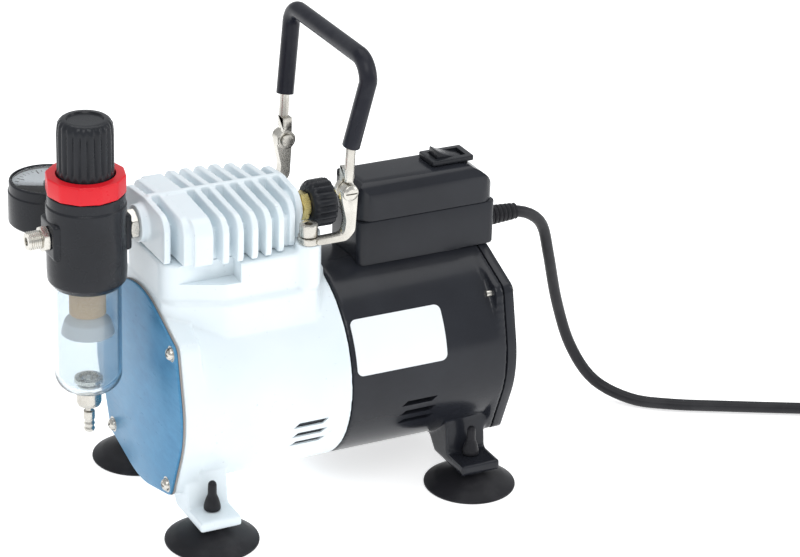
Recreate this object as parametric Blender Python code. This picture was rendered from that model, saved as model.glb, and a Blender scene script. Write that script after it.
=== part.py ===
"""Portable airbrush compressor: a small oil-free piston compressor with a filter regulator.

Frame: metres, +Z up, +X from the regulator towards the electrical end, +Y away from the label side.
The origin lies on the ground under the middle of the machine.
"""

import math

import bmesh
import bpy
import numpy as np
from mathutils import Matrix, Vector

GAP = 0.0003                     # clearance between parts that touch
PHASE_SCALE = 1733.0             # turns a radius into a start angle, so facets never line up

# Motor line
AXIS_Z = 0.072                   # height of the motor shaft
BODY_R = 0.056                   # outside radius of crankcase and motor housing
CASE_WALL = 0.004
FRONT_X = -0.0672                # open front of the crankcase
SEAM_X = 0.028                   # joint between crankcase and motor housing
HOUSING_END_X = 0.1205
REAR_X = 0.129                   # outer face of the rear cover
PLATE_T = 0.0023
UPPER_SCREW = (0.043, 0.0365)    # cover screws, across and above the shaft
LOWER_SCREW = (0.037, -0.042)
SCREW_BOSS_R = 0.006
SCREW_R = 0.0018
SHAFT_R = 0.004
THROW = 0.005                    # crank throw, so the stroke is twice this

# Cylinder and head
BORE_X = -0.0268
BORE_R = 0.019
LINER_R = 0.0205
LINER_TOP = 0.1610
CROWN_TOP = 0.1500               # with the crank pin at the top
SADDLE_TOP = 0.1500              # top of the cylinder block on the crankcase
HEAD_TOP = 0.178
INTAKE_Y = -0.012
FIN_X = (-0.0650, -0.0570, -0.0489, -0.0375, -0.0294, -0.0213, -0.0132, -0.0051, 0.0030, 0.0105)
WIDE_FIN = 2                     # this fin is a solid block
FIN_T = 0.0035
WIDE_FIN_T = 0.0104
FIN_MID_X = -0.0290              # plan outline of the fins: an oval with square shoulders
FIN_SPAN = 0.0440
FIN_HALF = 0.0395
FIN_SQUARENESS = 2.6
FIN_ROUND = 0.009

# Filter regulator
REG_X = -0.098
PORT_Z = 0.164
REG_R = 0.0207
REG_LOW = 0.1358
REG_TOP = 0.1863
BOWL_R = 0.0176
BOWL_LOW = 0.0740
KNOB_R = 0.0146
KNOB_TOP = 0.226
RING_TOP = 0.1965
GAUGE_Y = 0.0547
GAUGE_R = 0.021
GAUGE_LOW = 0.148
GAUGE_TOP = 0.172
GAUGE_STEM_Z = 0.1585
DIAL_Z = 0.1680

# Handle
PIVOT = (0.030, 0.040, 0.181)
HANDLE_TOP = 0.2575
HANDLE_LEAN = 0.007
HANDLE_SPREAD = 0.006
GRIP_LOW = 0.2056
GRIP_R = 0.0047
ROD_R = 0.0026
BOLT_X = 0.0100
BOLT_Y = 0.036
LUG_TOP = 0.154

# Feet
FOOT_X = (-0.050, 0.103)
FOOT_Y = 0.051
CUP_R = 0.025
PAD_LOW = 0.012
PAD_TOP = 0.0178

# Electrical box
BOX_X = (0.0485, 0.1305)
BOX_HALF = 0.018
BOX_SPLIT = 0.150
BOX_TOP = 0.171
SWITCH_X = 0.1085
CORD_Z = 0.1330
CORD_R = 0.00325


def clear_scene():
    for obj in list(bpy.data.objects):
        bpy.data.objects.remove(obj, do_unlink=True)


def material(name, colour, roughness, metallic=0.0, alpha=1.0):
    found = bpy.data.materials.get(name)
    if found:
        return found
    made = bpy.data.materials.new(name)
    made.use_nodes = True
    shader = made.node_tree.nodes["Principled BSDF"]
    shader.inputs["Base Color"].default_value = (*colour, 1.0)
    shader.inputs["Roughness"].default_value = roughness
    shader.inputs["Metallic"].default_value = metallic
    shader.inputs["Alpha"].default_value = alpha
    return made


WHITE = ("white_enamel", (0.78, 0.86, 0.90), 0.35)
BLACK = ("black_gloss", (0.012, 0.013, 0.016), 0.22)
BLUE = ("blue_film", (0.045, 0.20, 0.42), 0.30)
STEEL = ("bright_steel", (0.62, 0.61, 0.58), 0.25, 1.0)
DARK_STEEL = ("lamination_steel", (0.25, 0.25, 0.26), 0.5, 1.0)
BRASS = ("brass", (0.72, 0.58, 0.22), 0.3, 1.0)
COPPER = ("copper_winding", (0.60, 0.28, 0.12), 0.4, 1.0)
RUBBER = ("black_rubber", (0.015, 0.015, 0.017), 0.55)
RED = ("red_plastic", (0.75, 0.03, 0.04), 0.35)
CLEAR = ("clear_plastic", (0.85, 0.90, 0.95), 0.05, 0.0, 0.3)
CREAM = ("sintered_filter", (0.80, 0.58, 0.33), 0.8)
NYLON = ("white_nylon", (0.85, 0.87, 0.88), 0.45)
GASKET = ("gasket", (0.35, 0.31, 0.28), 0.8)
ALUMINIUM = ("aluminium", (0.70, 0.71, 0.72), 0.4, 1.0)


def finish(obj, look):
    obj.data.materials.clear()
    obj.data.materials.append(material(*look))
    if obj.type == "MESH":
        obj.data.shade_smooth()
        obj.data.set_sharp_from_angle(angle=math.radians(35))
    return obj


def from_bmesh(name, bm, look=None):
    bmesh.ops.recalc_face_normals(bm, faces=bm.faces)
    mesh = bpy.data.meshes.new(name)
    bm.to_mesh(mesh)
    bm.free()
    obj = bpy.data.objects.new(name, mesh)
    bpy.context.scene.collection.objects.link(obj)
    if look:
        finish(obj, look)
    return obj


AXES = {
    "x": Matrix(((0, 0, 1), (1, 0, 0), (0, 1, 0))).to_4x4(),
    "y": Matrix(((0, 1, 0), (0, 0, 1), (1, 0, 0))).to_4x4(),
    "z": Matrix.Identity(4),
}


def turned(name, profile, centre, look=None, axis="z", segments=24):
    """Turns a closed outline of (radius, height) points about an axis through centre."""
    bm = bmesh.new()
    rings = []
    phase = (PHASE_SCALE * max(radius for radius, _ in profile)) % 1.0
    for radius, height in profile:
        if radius < 1e-7:
            rings.append([bm.verts.new((0, 0, height))])
            continue
        ring = []
        for k in range(segments):
            a = 2 * math.pi * (k + phase) / segments
            ring.append(bm.verts.new((radius * math.cos(a), radius * math.sin(a), height)))
        rings.append(ring)
    for low, high in zip(rings, rings[1:] + rings[:1]):
        if len(low) == 1 and len(high) == 1:
            continue
        for k in range(segments):
            n = (k + 1) % segments
            corners = [low[k % len(low)], low[n % len(low)], high[n % len(high)], high[k % len(high)]]
            bm.faces.new(list(dict.fromkeys(corners)))
    bmesh.ops.transform(bm, matrix=AXES[axis], verts=bm.verts)
    obj = from_bmesh(name, bm, look)
    obj.location = centre
    return obj


def rod(name, radius, low, high, centre, look=None, axis="z", segments=20):
    outline = [(0, low), (radius, low), (radius, high), (0, high)]
    return turned(name, outline, centre, look, axis, segments)


def tube(name, inner, outer, low, high, centre, look=None, axis="z", segments=24):
    outline = [(inner, low), (outer, low), (outer, high), (inner, high)]
    return turned(name, outline, centre, look, axis, segments)


def prism(name, outline, low, high, centre, look=None, axis="z"):
    """Extrudes a closed outline of (u, v) points from low to high along an axis."""
    bm = bmesh.new()
    bottom = [bm.verts.new((u, v, low)) for u, v in outline]
    top = [bm.verts.new((u, v, high)) for u, v in outline]
    bm.faces.new(list(reversed(bottom)))
    bm.faces.new(top)
    for k in range(len(outline)):
        n = (k + 1) % len(outline)
        bm.faces.new((bottom[k], bottom[n], top[n], top[k]))
    bmesh.ops.transform(bm, matrix=AXES[axis], verts=bm.verts)
    obj = from_bmesh(name, bm, look)
    obj.location = centre
    return obj


def block(name, low, high, look=None, bevel=0.0, segments=2):
    low, high = Vector(low), Vector(high)
    bm = bmesh.new()
    bmesh.ops.create_cube(bm, size=1.0)
    bmesh.ops.scale(bm, vec=high - low, verts=bm.verts)
    bmesh.ops.translate(bm, vec=(low + high) / 2, verts=bm.verts)
    if bevel:
        bmesh.ops.bevel(bm, geom=bm.edges, offset=bevel, segments=segments, affect="EDGES", profile=0.5)
    return from_bmesh(name, bm, look)


def rounded_outline(half_u, half_v, radius, steps=5):
    points = []
    for corner in range(4):
        cu = (half_u - radius) * (1, -1, -1, 1)[corner]
        cv = (half_v - radius) * (1, 1, -1, -1)[corner]
        for k in range(steps + 1):
            a = math.pi / 2 * (corner + k / steps)
            points.append((cu + radius * math.cos(a), cv + radius * math.sin(a)))
    return points


def convex_outline(points):
    """Outline of the smallest convex shape around the points."""
    points = sorted(points)

    def half(source):
        chain = []
        for p in source:
            while len(chain) > 1:
                (ax, ay), (bx, by) = chain[-2], chain[-1]
                if (bx - ax) * (p[1] - ay) - (by - ay) * (p[0] - ax) > 1e-12:
                    break
                chain.pop()
            chain.append(p)
        return chain[:-1]

    return half(points) + half(points[::-1])


def circle_points(u, v, radius, count):
    return [
        (u + radius * math.cos(2 * math.pi * k / count), v + radius * math.sin(2 * math.pi * k / count))
        for k in range(count)
    ]


def solve(obj, others, operation):
    """Applies Booleans with other solids, which are then removed."""
    for other in others:
        modifier = obj.modifiers.new("solid", "BOOLEAN")
        modifier.operation = operation
        modifier.solver = "EXACT"
        modifier.object = other
        bpy.context.view_layer.update()
        graph = bpy.context.evaluated_depsgraph_get()
        mesh = bpy.data.meshes.new_from_object(obj.evaluated_get(graph))
        obj.modifiers.clear()
        obj.data = mesh
        bpy.data.objects.remove(other, do_unlink=True)
    return obj


def join(obj, *others):
    return solve(obj, others, "UNION")


def cut(obj, *others):
    return solve(obj, others, "DIFFERENCE")


def smooth_route(points, spacing):
    """Evenly spaced points on a smooth curve through the route's points."""
    p = [np.array(q, float) for q in points]
    p = [2 * p[0] - p[1]] + p + [2 * p[-1] - p[-2]]
    fine = []
    for a, b, c, d in zip(p, p[1:], p[2:], p[3:]):
        for t in np.linspace(0, 1, 24, endpoint=False):
            fine.append(0.5 * (2 * b + (c - a) * t + (2 * a - 5 * b + 4 * c - d) * t * t
                               + (3 * b - a - 3 * c + d) * t ** 3))
    fine = np.array(fine + [p[-2]])
    run = np.r_[0, np.cumsum(np.linalg.norm(np.diff(fine, axis=0), axis=1))]
    marks = np.linspace(0, run[-1], max(2, round(run[-1] / spacing)) + 1)
    return np.stack([np.interp(marks, run, fine[:, k]) for k in range(3)], axis=1)


def swept(name, points, radius, look, resolution=2):
    curve = bpy.data.curves.new(name, "CURVE")
    curve.dimensions = "3D"
    curve.bevel_depth = radius
    curve.bevel_resolution = resolution
    curve.render_resolution_u = 0
    curve.use_fill_caps = True
    spline = curve.splines.new("POLY")
    spline.points.add(len(points) - 1)
    for target, point in zip(spline.points, points):
        target.co = (*point, 1.0)
    obj = bpy.data.objects.new(name, curve)
    bpy.context.scene.collection.objects.link(obj)
    curve.materials.append(material(*look))
    return obj


def meshed(obj, look=None):
    """Turns a curve object into a mesh object of the same name."""
    name = obj.name
    bpy.context.view_layer.update()
    graph = bpy.context.evaluated_depsgraph_get()
    mesh = bpy.data.meshes.new_from_object(obj.evaluated_get(graph))
    bpy.data.objects.remove(obj, do_unlink=True)
    made = bpy.data.objects.new(name, mesh)
    made.name = name
    bpy.context.scene.collection.objects.link(made)
    if look:
        finish(made, look)
    return made


def on_axis(x):
    return (x, 0.0, AXIS_Z)


def screw_points():
    return [(s * u, v) for u, v in (UPPER_SCREW, LOWER_SCREW) for s in (1, -1)]


def cover_outline(steps=40):
    """Round cover drawn out into corners around its four screws."""
    points = circle_points(0, 0, BODY_R, steps)
    for u, v in screw_points():
        points += circle_points(u, v, SCREW_BOSS_R, 12)
    return convex_outline(points)


def screw_holes(low, high, radius):
    return [rod("hole", radius, low, high, (0, u, AXIS_Z + v), axis="x", segments=12)
            for u, v in screw_points()]


def leg(x, side, low_name):
    """Foot pad and its web on one side of the body."""
    outline = [(0.0635, PAD_LOW), (0.0635, PAD_TOP), (0.0462, PAD_TOP), (0.0430, 0.0400),
               (0.030, 0.040), (0.018, 0.0260), (0.030, PAD_LOW)]
    outline = [(side * u, v) for u, v in outline]
    if side < 0:
        outline = outline[::-1]
    web = prism(low_name, outline, x - 0.0115, x + 0.0115, (0, 0, 0), axis="x")
    return web


def pad_hole(x, side):
    return rod("hole", 0.0030, PAD_LOW - 0.002, PAD_TOP + 0.002, (x, side * FOOT_Y, 0), segments=16)


def side_slots(x0, x1):
    """Cutters for three cooling slots low on the label side."""
    cutters = []
    for degrees in (14, 21, 28):
        a = math.radians(degrees)
        slot = block("slot", (x0, -0.006, -0.0016), (x1, 0.006, 0.0016))
        slot.rotation_euler = (a, 0, 0)
        slot.location = (0, -BODY_R * math.cos(a), AXIS_Z - BODY_R * math.sin(a))
        cutters.append(slot)
    return cutters


def make_crankcase():
    case = rod("crankcase", BODY_R, FRONT_X, SEAM_X, on_axis(0), axis="x", segments=48)
    flange = prism("flange", cover_outline(), FRONT_X, -0.050, on_axis(0), axis="x")
    corners = ((-0.0550, 0.018, 0.012), (-0.0350, 0.027, 0.012), (0.0080, 0.030, 0.009), (0.0180, 0.012, 0.0095))
    plan = []
    for x, y, radius in corners:
        plan += circle_points(x, y, radius, 20) + circle_points(x, -y, radius, 20)
    saddle = prism("saddle", convex_outline(plan), 0.0900, SADDLE_TOP, (0, 0, 0))
    lugs = [rod("lug", 0.0068, 0.1400, LUG_TOP, (BOLT_X, s * BOLT_Y, 0), segments=20) for s in (1, -1)]
    join(case, flange, saddle, *lugs, *[leg(FOOT_X[0], s, "leg") for s in (1, -1)])
    chamber = rod("cutter", BODY_R - CASE_WALL, FRONT_X - 0.01, -0.011, on_axis(0), axis="x", segments=48)
    motor_room = rod("cutter", BODY_R - CASE_WALL, -0.004, SEAM_X + 0.01, on_axis(0), axis="x", segments=48)
    bearing_seat = rod("cutter", 0.0113, -0.012, -0.003, on_axis(0), axis="x", segments=24)
    bore = rod("cutter", LINER_R + GAP, 0.100, 0.160, (BORE_X, 0, 0), segments=32)
    cut(case, chamber, motor_room, bearing_seat, bore)
    windows = [block("cutter", (-0.0640, min(s * 0.029, s * 0.05), 0.1395),
                     (-0.0290, max(s * 0.029, s * 0.05), SADDLE_TOP + 0.002)) for s in (1, -1)]
    bolt_holes = [rod("cutter", 0.0028, 0.1455, LUG_TOP + 0.01, (BOLT_X, s * BOLT_Y, 0), segments=16)
                  for s in (1, -1)]
    cut(case, *windows, *bolt_holes)
    cut(case, *screw_holes(FRONT_X - 0.002, -0.060, SCREW_R + GAP))
    cut(case, *[pad_hole(FOOT_X[0], s) for s in (1, -1)])
    cut(case, *side_slots(-0.0035, 0.0135))
    return finish(case, WHITE)


def make_front_cover():
    back = FRONT_X - GAP
    plate = prism("front_plate", cover_outline(), back - PLATE_T, back, on_axis(0), axis="x")
    cut(plate, *screw_holes(back - 0.01, back + 0.01, SCREW_R + GAP))
    finish(plate, BLUE)
    make_screws("front_plate_screw", back - PLATE_T - GAP, -1, -0.0605)


def make_screws(name, head, facing, tip):
    """Four pan-head screws along X, with their heads facing outwards."""
    dome = [(0.0, 0.0026), (0.0016, 0.0024), (0.0029, 0.0015), (0.0034, 0.0)]
    outline = [(r, head + facing * h) for r, h in dome]
    outline += [(SCREW_R, head), (SCREW_R, tip), (0.0, tip)]
    recess_x = sorted((head + facing * 0.0030, head + facing * 0.0014))
    for number, (u, v) in enumerate(screw_points(), 1):
        centre = (0, u, AXIS_Z + v)
        piece = turned(f"{name}_{number}", outline, centre, axis="x", segments=12)
        for turn in (40, 130):
            recess = block("recess", (recess_x[0], -0.0017, -0.0004), (recess_x[1], 0.0017, 0.0004))
            recess.location = centre
            recess.rotation_euler = (math.radians(turn), 0, 0)
            cut(piece, recess)
        finish(piece, STEEL)


def make_motor_housing():
    start = SEAM_X + GAP
    housing = rod("motor_housing", BODY_R, start, HOUSING_END_X, on_axis(0), axis="x", segments=48)
    flange = prism("flange", cover_outline(), 0.1155, HOUSING_END_X, on_axis(0), axis="x")
    join(housing, flange, *[leg(FOOT_X[1], s, "leg") for s in (1, -1)])
    room = rod("cutter", BODY_R - CASE_WALL, start - 0.01, HOUSING_END_X + 0.01, on_axis(0),
               axis="x", segments=48)
    cut(housing, room, *screw_holes(0.1115, HOUSING_END_X + 0.01, SCREW_R + GAP))
    cut(housing, *[pad_hole(FOOT_X[1], s) for s in (1, -1)])
    cut(housing, *side_slots(0.060, 0.078))
    return finish(housing, BLACK)


def vent_outline():
    """One teardrop vent of the rear cover, narrow at the hub and round at the rim."""
    inner, outer = 0.0235, 0.0435
    narrow, wide = 0.0016, 0.0036
    points = [(inner, -narrow)]
    for k in range(5):
        a = math.pi * (k / 4 - 0.5)
        points.append((outer + wide * math.cos(a), wide * math.sin(a)))
    return points + [(inner, narrow)]


def make_rear_cover():
    start = HOUSING_END_X + GAP
    cover = prism("rear_cover", cover_outline(), start, 0.1260, on_axis(0), axis="x")
    dish = turned("dish", [(0, 0.125), (0.0500, 0.125), (0.0500, 0.1280), (0.0485, REAR_X), (0, REAR_X)],
                  on_axis(0), axis="x", segments=48)
    boss = rod("boss", 0.0150, 0.1125, 0.126, on_axis(0), axis="x", segments=24)
    room = rod("cutter", 0.0475, start - 0.001, 0.1255, on_axis(0), axis="x", segments=48)
    join(cover, dish)
    cut(cover, room)
    join(cover, boss)
    seat = rod("cutter", 0.0113, 0.112, 0.1190, on_axis(0), axis="x", segments=24)
    cut(cover, seat, *screw_holes(start - 0.01, REAR_X + 0.01, SCREW_R + GAP))
    vents = []
    for k in range(20):
        vent = prism("vent", vent_outline(), 0.1240, REAR_X + 0.001, on_axis(0), axis="x")
        vent.rotation_euler = (math.radians(18 * (k + 0.5)), 0, 0)
        vents.append(vent)
    cut(cover, *vents)
    finish(cover, BLACK)
    make_screws("rear_cover_screw", 0.1260 + GAP, 1, 0.1125)


def make_motor_parts():
    stator = tube("stator_core", 0.0255, 0.0515, 0.036, 0.084, on_axis(0), None, "x", 32)
    winding = tube("stator_windings", 0.0270, 0.0440, 0.0262, 0.0357, on_axis(0), None, "x", 24)
    rear_coil = tube("coil", 0.0270, 0.0440, 0.0843, 0.0938, on_axis(0), None, "x", 24)
    slots, bars = [], []
    for k in range(6):
        for items, margin in ((slots, GAP), (bars, 0.0)):
            bar = block("bar", (0.0350, 0.0290 - margin, -0.0035 - margin), (0.0850, 0.0400 + margin, 0.0035 + margin))
            bar.rotation_euler = (math.radians(60 * k), 0, 0)
            bar.location = on_axis(0)
            items.append(bar)
    cut(stator, *slots)
    join(winding, rear_coil, *bars)
    finish(stator, DARK_STEEL)
    finish(winding, COPPER)
    for name, low in (("front_bearing", -0.0105), ("rear_bearing", 0.1130)):
        tube(name, SHAFT_R + GAP, 0.0110, low, low + 0.0058, on_axis(0), STEEL, "x", 20)
    rotor = rod("motor_rotor", SHAFT_R, -0.0185, 0.1185, on_axis(0), axis="x", segments=16)
    join(rotor, rod("core", 0.0250, 0.0365, 0.0835, on_axis(0), axis="x", segments=28))
    finish(rotor, STEEL)


def make_fan():
    fan = tube("cooling_fan", SHAFT_R + GAP, 0.0110, 0.0975, 0.1100, on_axis(0), axis="x", segments=20)
    blades = []
    for k in range(9):
        blade = block("blade", (0.0985, -0.0009, 0.0100), (0.1090, 0.0009, 0.0430))
        blade.rotation_euler = (0, 0, 0)
        blade.data.transform(Matrix.Rotation(math.radians(24), 4, "Z"))
        blade.data.transform(Matrix.Translation((0.1037 * (1 - math.cos(math.radians(24))),
                                                 -0.1037 * math.sin(math.radians(24)), 0)))
        blade.rotation_euler = (math.radians(40 * k), 0, 0)
        blade.location = on_axis(0)
        blades.append(blade)
    join(fan, *blades)
    return finish(fan, NYLON)


def make_crank():
    """Counterweight disc with its crank pin; the pin stops short of the rod's bearing."""
    disc = rod("crank", 0.0150, -0.0195, -0.0125, on_axis(0), axis="x", segments=28)
    relief = block("cutter", (-0.03, -0.02, 0.0085), (0.0, 0.02, 0.03))
    relief.location = on_axis(0)
    cut(disc, relief)
    pin = rod("pin", 0.0030, -0.0230, -0.0190, (0, 0, AXIS_Z + THROW), axis="x", segments=16)
    hole = rod("cutter", SHAFT_R + GAP, -0.0188, -0.010, on_axis(0), axis="x", segments=20)
    join(disc, pin)
    cut(disc, hole)
    return finish(disc, ALUMINIUM)


def make_piston():
    big_end_z = AXIS_Z + THROW
    piston = tube("piston_rod", 0.0045, 0.0095, -0.0035, 0.0035, (BORE_X, 0, big_end_z), axis="x",
                  segments=24)
    shank = block("shank", (BORE_X - 0.0028, -0.0042, big_end_z + 0.0082),
                  (BORE_X + 0.0028, 0.0042, CROWN_TOP - 0.0020))
    crown = rod("crown", BORE_R - 0.0012, CROWN_TOP - 0.0040, CROWN_TOP, (BORE_X, 0, 0), segments=28)
    join(piston, shank, crown)
    finish(piston, ALUMINIUM)
    low = CROWN_TOP + GAP
    cup = [(0, low), (BORE_R - 0.0002, low), (BORE_R - 0.0002, low + 0.0030), (0.0170, low + 0.0030),
           (0.0165, low + 0.0014), (0, low + 0.0014)]
    turned("piston_cup", cup, (BORE_X, 0, 0), NYLON, segments=28)


def fin_half(x):
    """Half width of the finned head at x."""
    u = abs(x - FIN_MID_X) / FIN_SPAN
    return FIN_HALF * (1 - u ** FIN_SQUARENESS) ** (1 / FIN_SQUARENESS)


def fin_outline(half):
    """Outline of one fin across the machine, with rounded shoulders and a slight gable."""
    shoulder = HEAD_TOP - 0.0025 * half / FIN_HALF
    base = SADDLE_TOP + 0.0010
    points = [(-half + 0.001, base), (half - 0.001, base), (half, base + 0.003)]
    for k in range(5):
        a = math.pi / 2 * k / 4
        points.append((half - FIN_ROUND * (1 - math.cos(a)), shoulder - FIN_ROUND * (1 - math.sin(a))))
    points.append((0.0, HEAD_TOP))
    left = [(-u, v) for u, v in points[2:-1]]
    return points + left[::-1]


def make_head():
    """Finned cylinder head: core, fins, ridge and port bosses."""
    low = SADDLE_TOP + GAP
    head = block("cylinder_head", (-0.0560, -0.0290, low), (0.0022, 0.0290, 0.1690))
    ends = block("ends", (-0.0640, -0.0170, low + 0.0014), (0.0100, 0.0170, 0.1700))
    fins = []
    for k, x in enumerate(FIN_X):
        half_t = (WIDE_FIN_T if k == WIDE_FIN else FIN_T) / 2
        fins.append(prism("fin", fin_outline(fin_half(x)), x - half_t, x + half_t, (0, 0, 0), axis="x"))
    ridge = block("ridge", (FIN_X[0] + 0.0004, -0.0016, 0.1655), (FIN_X[-1] - 0.0003, 0.0016, 0.1786))
    in_boss = rod("boss", 0.0100, -0.0715, -0.060, (0, 0, PORT_Z), axis="x", segments=24)
    out_boss = rod("boss", 0.0090, 0.0050, 0.0140, (0, INTAKE_Y, PORT_Z), axis="x", segments=24)
    join(head, ends, *fins, ridge, in_boss, out_boss)
    step = LINER_TOP + 0.0032
    room = [(0, low - 0.01), (LINER_R + GAP, low - 0.01), (LINER_R + GAP, step), (0.0140, step),
            (0.0140, 0.1710), (0, 0.1710)]
    bore = turned("cutter", room, (BORE_X, 0, 0), segments=32)
    inlet = rod("cutter", 0.0033, BORE_X + 0.006, 0.02, (0, -0.0095, 0.1672), axis="x", segments=16)
    thread_in = rod("cutter", 0.0063, 0.0085, 0.02, (0, INTAKE_Y, PORT_Z), axis="x", segments=16)
    outlet = rod("cutter", 0.0048, -0.080, -0.0660, (0, 0, PORT_Z), axis="x", segments=16)
    passage = rod("cutter", 0.0022, -0.067, BORE_X - 0.006, (0, 0, PORT_Z + 0.0025), axis="x", segments=16)
    cut(head, bore, inlet, thread_in, outlet, passage)
    return finish(head, WHITE)


def make_cylinder_parts():
    tube("cylinder_liner", BORE_R, LINER_R, 0.1230, LINER_TOP, (BORE_X, 0, 0), STEEL, segments=32)
    plate = rod("valve_plate", 0.0200, LINER_TOP + GAP, LINER_TOP + 0.0029, (BORE_X, 0, 0), segments=28)
    ports = [rod("cutter", 0.0016, 0.15, 0.17, (BORE_X + dx, dy, 0), segments=12)
             for dx, dy in ((0.0068, 0.0017), (-0.0068, 0.0013), (0.0062, -0.0047), (-0.0064, -0.0051))]
    cut(plate, *ports)
    finish(plate, STEEL)


def make_intake():
    nipple = [(0.0030, 0.0095), (0.0060, 0.0095), (0.0060, 0.0148), (0.0085, 0.0148), (0.0085, 0.0195),
              (0.0060, 0.0198), (0.0060, 0.0230), (0.0030, 0.0230)]
    turned("intake_nipple", nipple, (0, INTAKE_Y, PORT_Z), BRASS, "x", 20)
    body = [(0.0063, 0.0200), (0.0100, 0.0200), (0.0122, 0.0215), (0.0127, 0.0235), (0.0127, 0.0315),
            (0.0118, 0.0330), (0.0, 0.0330), (0.0, 0.0235), (0.0063, 0.0235)]
    turned("intake_filter", body, (0, INTAKE_Y, PORT_Z), BLACK, "x", 28)


def make_brackets():
    """Cranked arms from the head lugs up to the handle pivots."""
    low = LUG_TOP + GAP
    for side, name in ((-1, "handle_bracket_right"), (1, "handle_bracket_left")):
        y = side * PIVOT[1]
        base = prism(name, rounded_outline(0.0050, 0.0062, 0.0048, 4), low, low + 0.0032,
                     (BOLT_X, side * BOLT_Y, 0))
        cranked = [(BOLT_X + 0.002, low), (0.0290, low), (0.0335, low + 0.0045), (0.0345, PIVOT[2] - 0.004),
                   (0.0346, PIVOT[2] + 0.0010), (0.0325, PIVOT[2] + 0.0042), (0.0285, PIVOT[2] + 0.0046),
                   (0.0256, PIVOT[2] + 0.0015), (0.0258, PIVOT[2] - 0.004), (0.0285, low + 0.0110),
                   (0.0275, low + 0.0048), (0.0255, low + 0.0034), (BOLT_X + 0.002, low + 0.0032)]
        outline = [(z, x) for x, z in cranked]
        arm = prism("arm", outline, y - 0.0026, y + 0.0026, (0, 0, 0), axis="y")
        join(base, arm)
        bolt_hole = rod("cutter", 0.0028, low - 0.01, low + 0.012, (BOLT_X, side * BOLT_Y, 0), segments=16)
        pin_hole = rod("cutter", 0.0020 + GAP, y - 0.01, y + 0.01, (PIVOT[0], 0, PIVOT[2]), axis="y",
                       segments=16)
        cut(base, bolt_hole, pin_hole)
        finish(base, STEEL)
    top = low + 0.0032 + GAP
    for side, name in ((-1, "bracket_bolt_right"), (1, "bracket_bolt_left")):
        outline = [(0, 0.1460), (0.0025, 0.1460), (0.0025, top), (0.0048, top), (0.0048, top + 0.0060),
                   (0.0044, top + 0.0066), (0.0026, top + 0.0066), (0.0026, top + 0.0035), (0, top + 0.0030)]
        turned(name, outline, (BOLT_X, side * BOLT_Y, 0), STEEL, segments=16)


def handle_route():
    """Centre line of the steel frame from one pivot eye over the top to the other."""
    px, py, pz = PIVOT
    wide = py + HANDLE_SPREAD
    top = HANDLE_TOP - GRIP_R
    x_low = px + 0.0012
    x_top = px + HANDLE_LEAN
    round_r = 0.011
    route = [(px + 0.0004, -py, pz + 0.0055), (x_low, -py, GRIP_LOW)]
    for side in (-1, 1):
        arc = []
        for k in range(6):
            a = math.pi / 2 * k / 5
            arc.append((x_top, side * (wide - round_r + round_r * math.cos(a)),
                        top - round_r + round_r * math.sin(a)))
        route += arc if side < 0 else arc[::-1]
    route += [(x_low, py, GRIP_LOW), (px + 0.0004, py, pz + 0.0055)]
    return route


def make_handle():
    route = handle_route()
    grip_points = [Vector(p) for p in route[1:-1]]
    frame = meshed(swept("handle_frame", route, ROD_R, STEEL, 1))
    eyes = []
    for side in (-1, 1):
        y = side * (PIVOT[1] - 0.0026 - GAP - 0.0013)
        eye = rod("eye", 0.0052, y - 0.0013, y + 0.0013, (PIVOT[0], 0, PIVOT[2]), axis="y", segments=20)
        neck = block("neck", (PIVOT[0] - 0.0022, min(y - 0.0013, side * PIVOT[1] - 0.0010), PIVOT[2] + 0.0068),
                     (PIVOT[0] + 0.0030, max(y + 0.0013, side * PIVOT[1] + 0.0010), PIVOT[2] + 0.0125))
        strap = block("strap", (PIVOT[0] - 0.0022, y - 0.0013, PIVOT[2]),
                      (PIVOT[0] + 0.0030, y + 0.0013, PIVOT[2] + 0.0125))
        eyes += [eye, strap, neck]
    join(frame, *eyes)
    holes = [rod("cutter", 0.0020 + GAP, side * PIVOT[1] - 0.012, side * PIVOT[1] + 0.012,
                 (PIVOT[0], 0, PIVOT[2]), axis="y", segments=16) for side in (-1, 1)]
    cut(frame, *holes)
    finish(frame, STEEL)
    grip = meshed(swept("handle_grip", grip_points, GRIP_R, RUBBER, 4))
    core = meshed(swept("cutter", [grip_points[0] - Vector((0.0003, 0, 0.006)), *grip_points,
                                   grip_points[-1] - Vector((0.0003, 0, 0.006))], ROD_R + GAP, RUBBER, 2))
    cut(grip, core)
    finish(grip, RUBBER)
    for side, name in ((-1, "pivot_screw_right"), (1, "pivot_screw_left")):
        y = side * (PIVOT[1] + 0.0026 + GAP)
        inner = side * (PIVOT[1] - 0.0026 - GAP - 0.0026 - GAP)
        outline = [(0, inner - side * 0.0016), (0.0034, inner - side * 0.0016), (0.0034, inner),
                   (0.0020, inner), (0.0020, y), (0.0044, y), (0.0042, y + side * 0.0012),
                   (0.0026, y + side * 0.0020), (0, y + side * 0.0022)]
        turned(name, outline, (PIVOT[0], 0, PIVOT[2]), STEEL, "y", 16)


def make_feet():
    names = ("front_right", "front_left", "rear_right", "rear_left")
    places = [(x, s * FOOT_Y) for x in FOOT_X for s in (-1, 1)]
    neck = 0.0027
    outline = [(0.0, 0.0050), (0.0100, 0.0042), (0.0225, 0.0004), (0.0238, 0.0), (CUP_R, 0.0),
               (CUP_R, 0.0012), (0.0190, 0.0046), (0.0120, 0.0074), (0.0078, 0.0092), (0.0074, PAD_LOW - GAP),
               (neck, PAD_LOW - GAP), (neck, PAD_TOP + GAP), (0.0045, PAD_TOP + GAP), (0.0045, 0.0205),
               (0.0036, 0.0238), (0.0024, 0.0268), (0.0023, 0.0330), (0.0014, 0.0344), (0.0, 0.0348)]
    for name, (x, y) in zip(names, places):
        turned("suction_foot_" + name, outline, (x, y, 0), RUBBER, segments=18)


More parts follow.
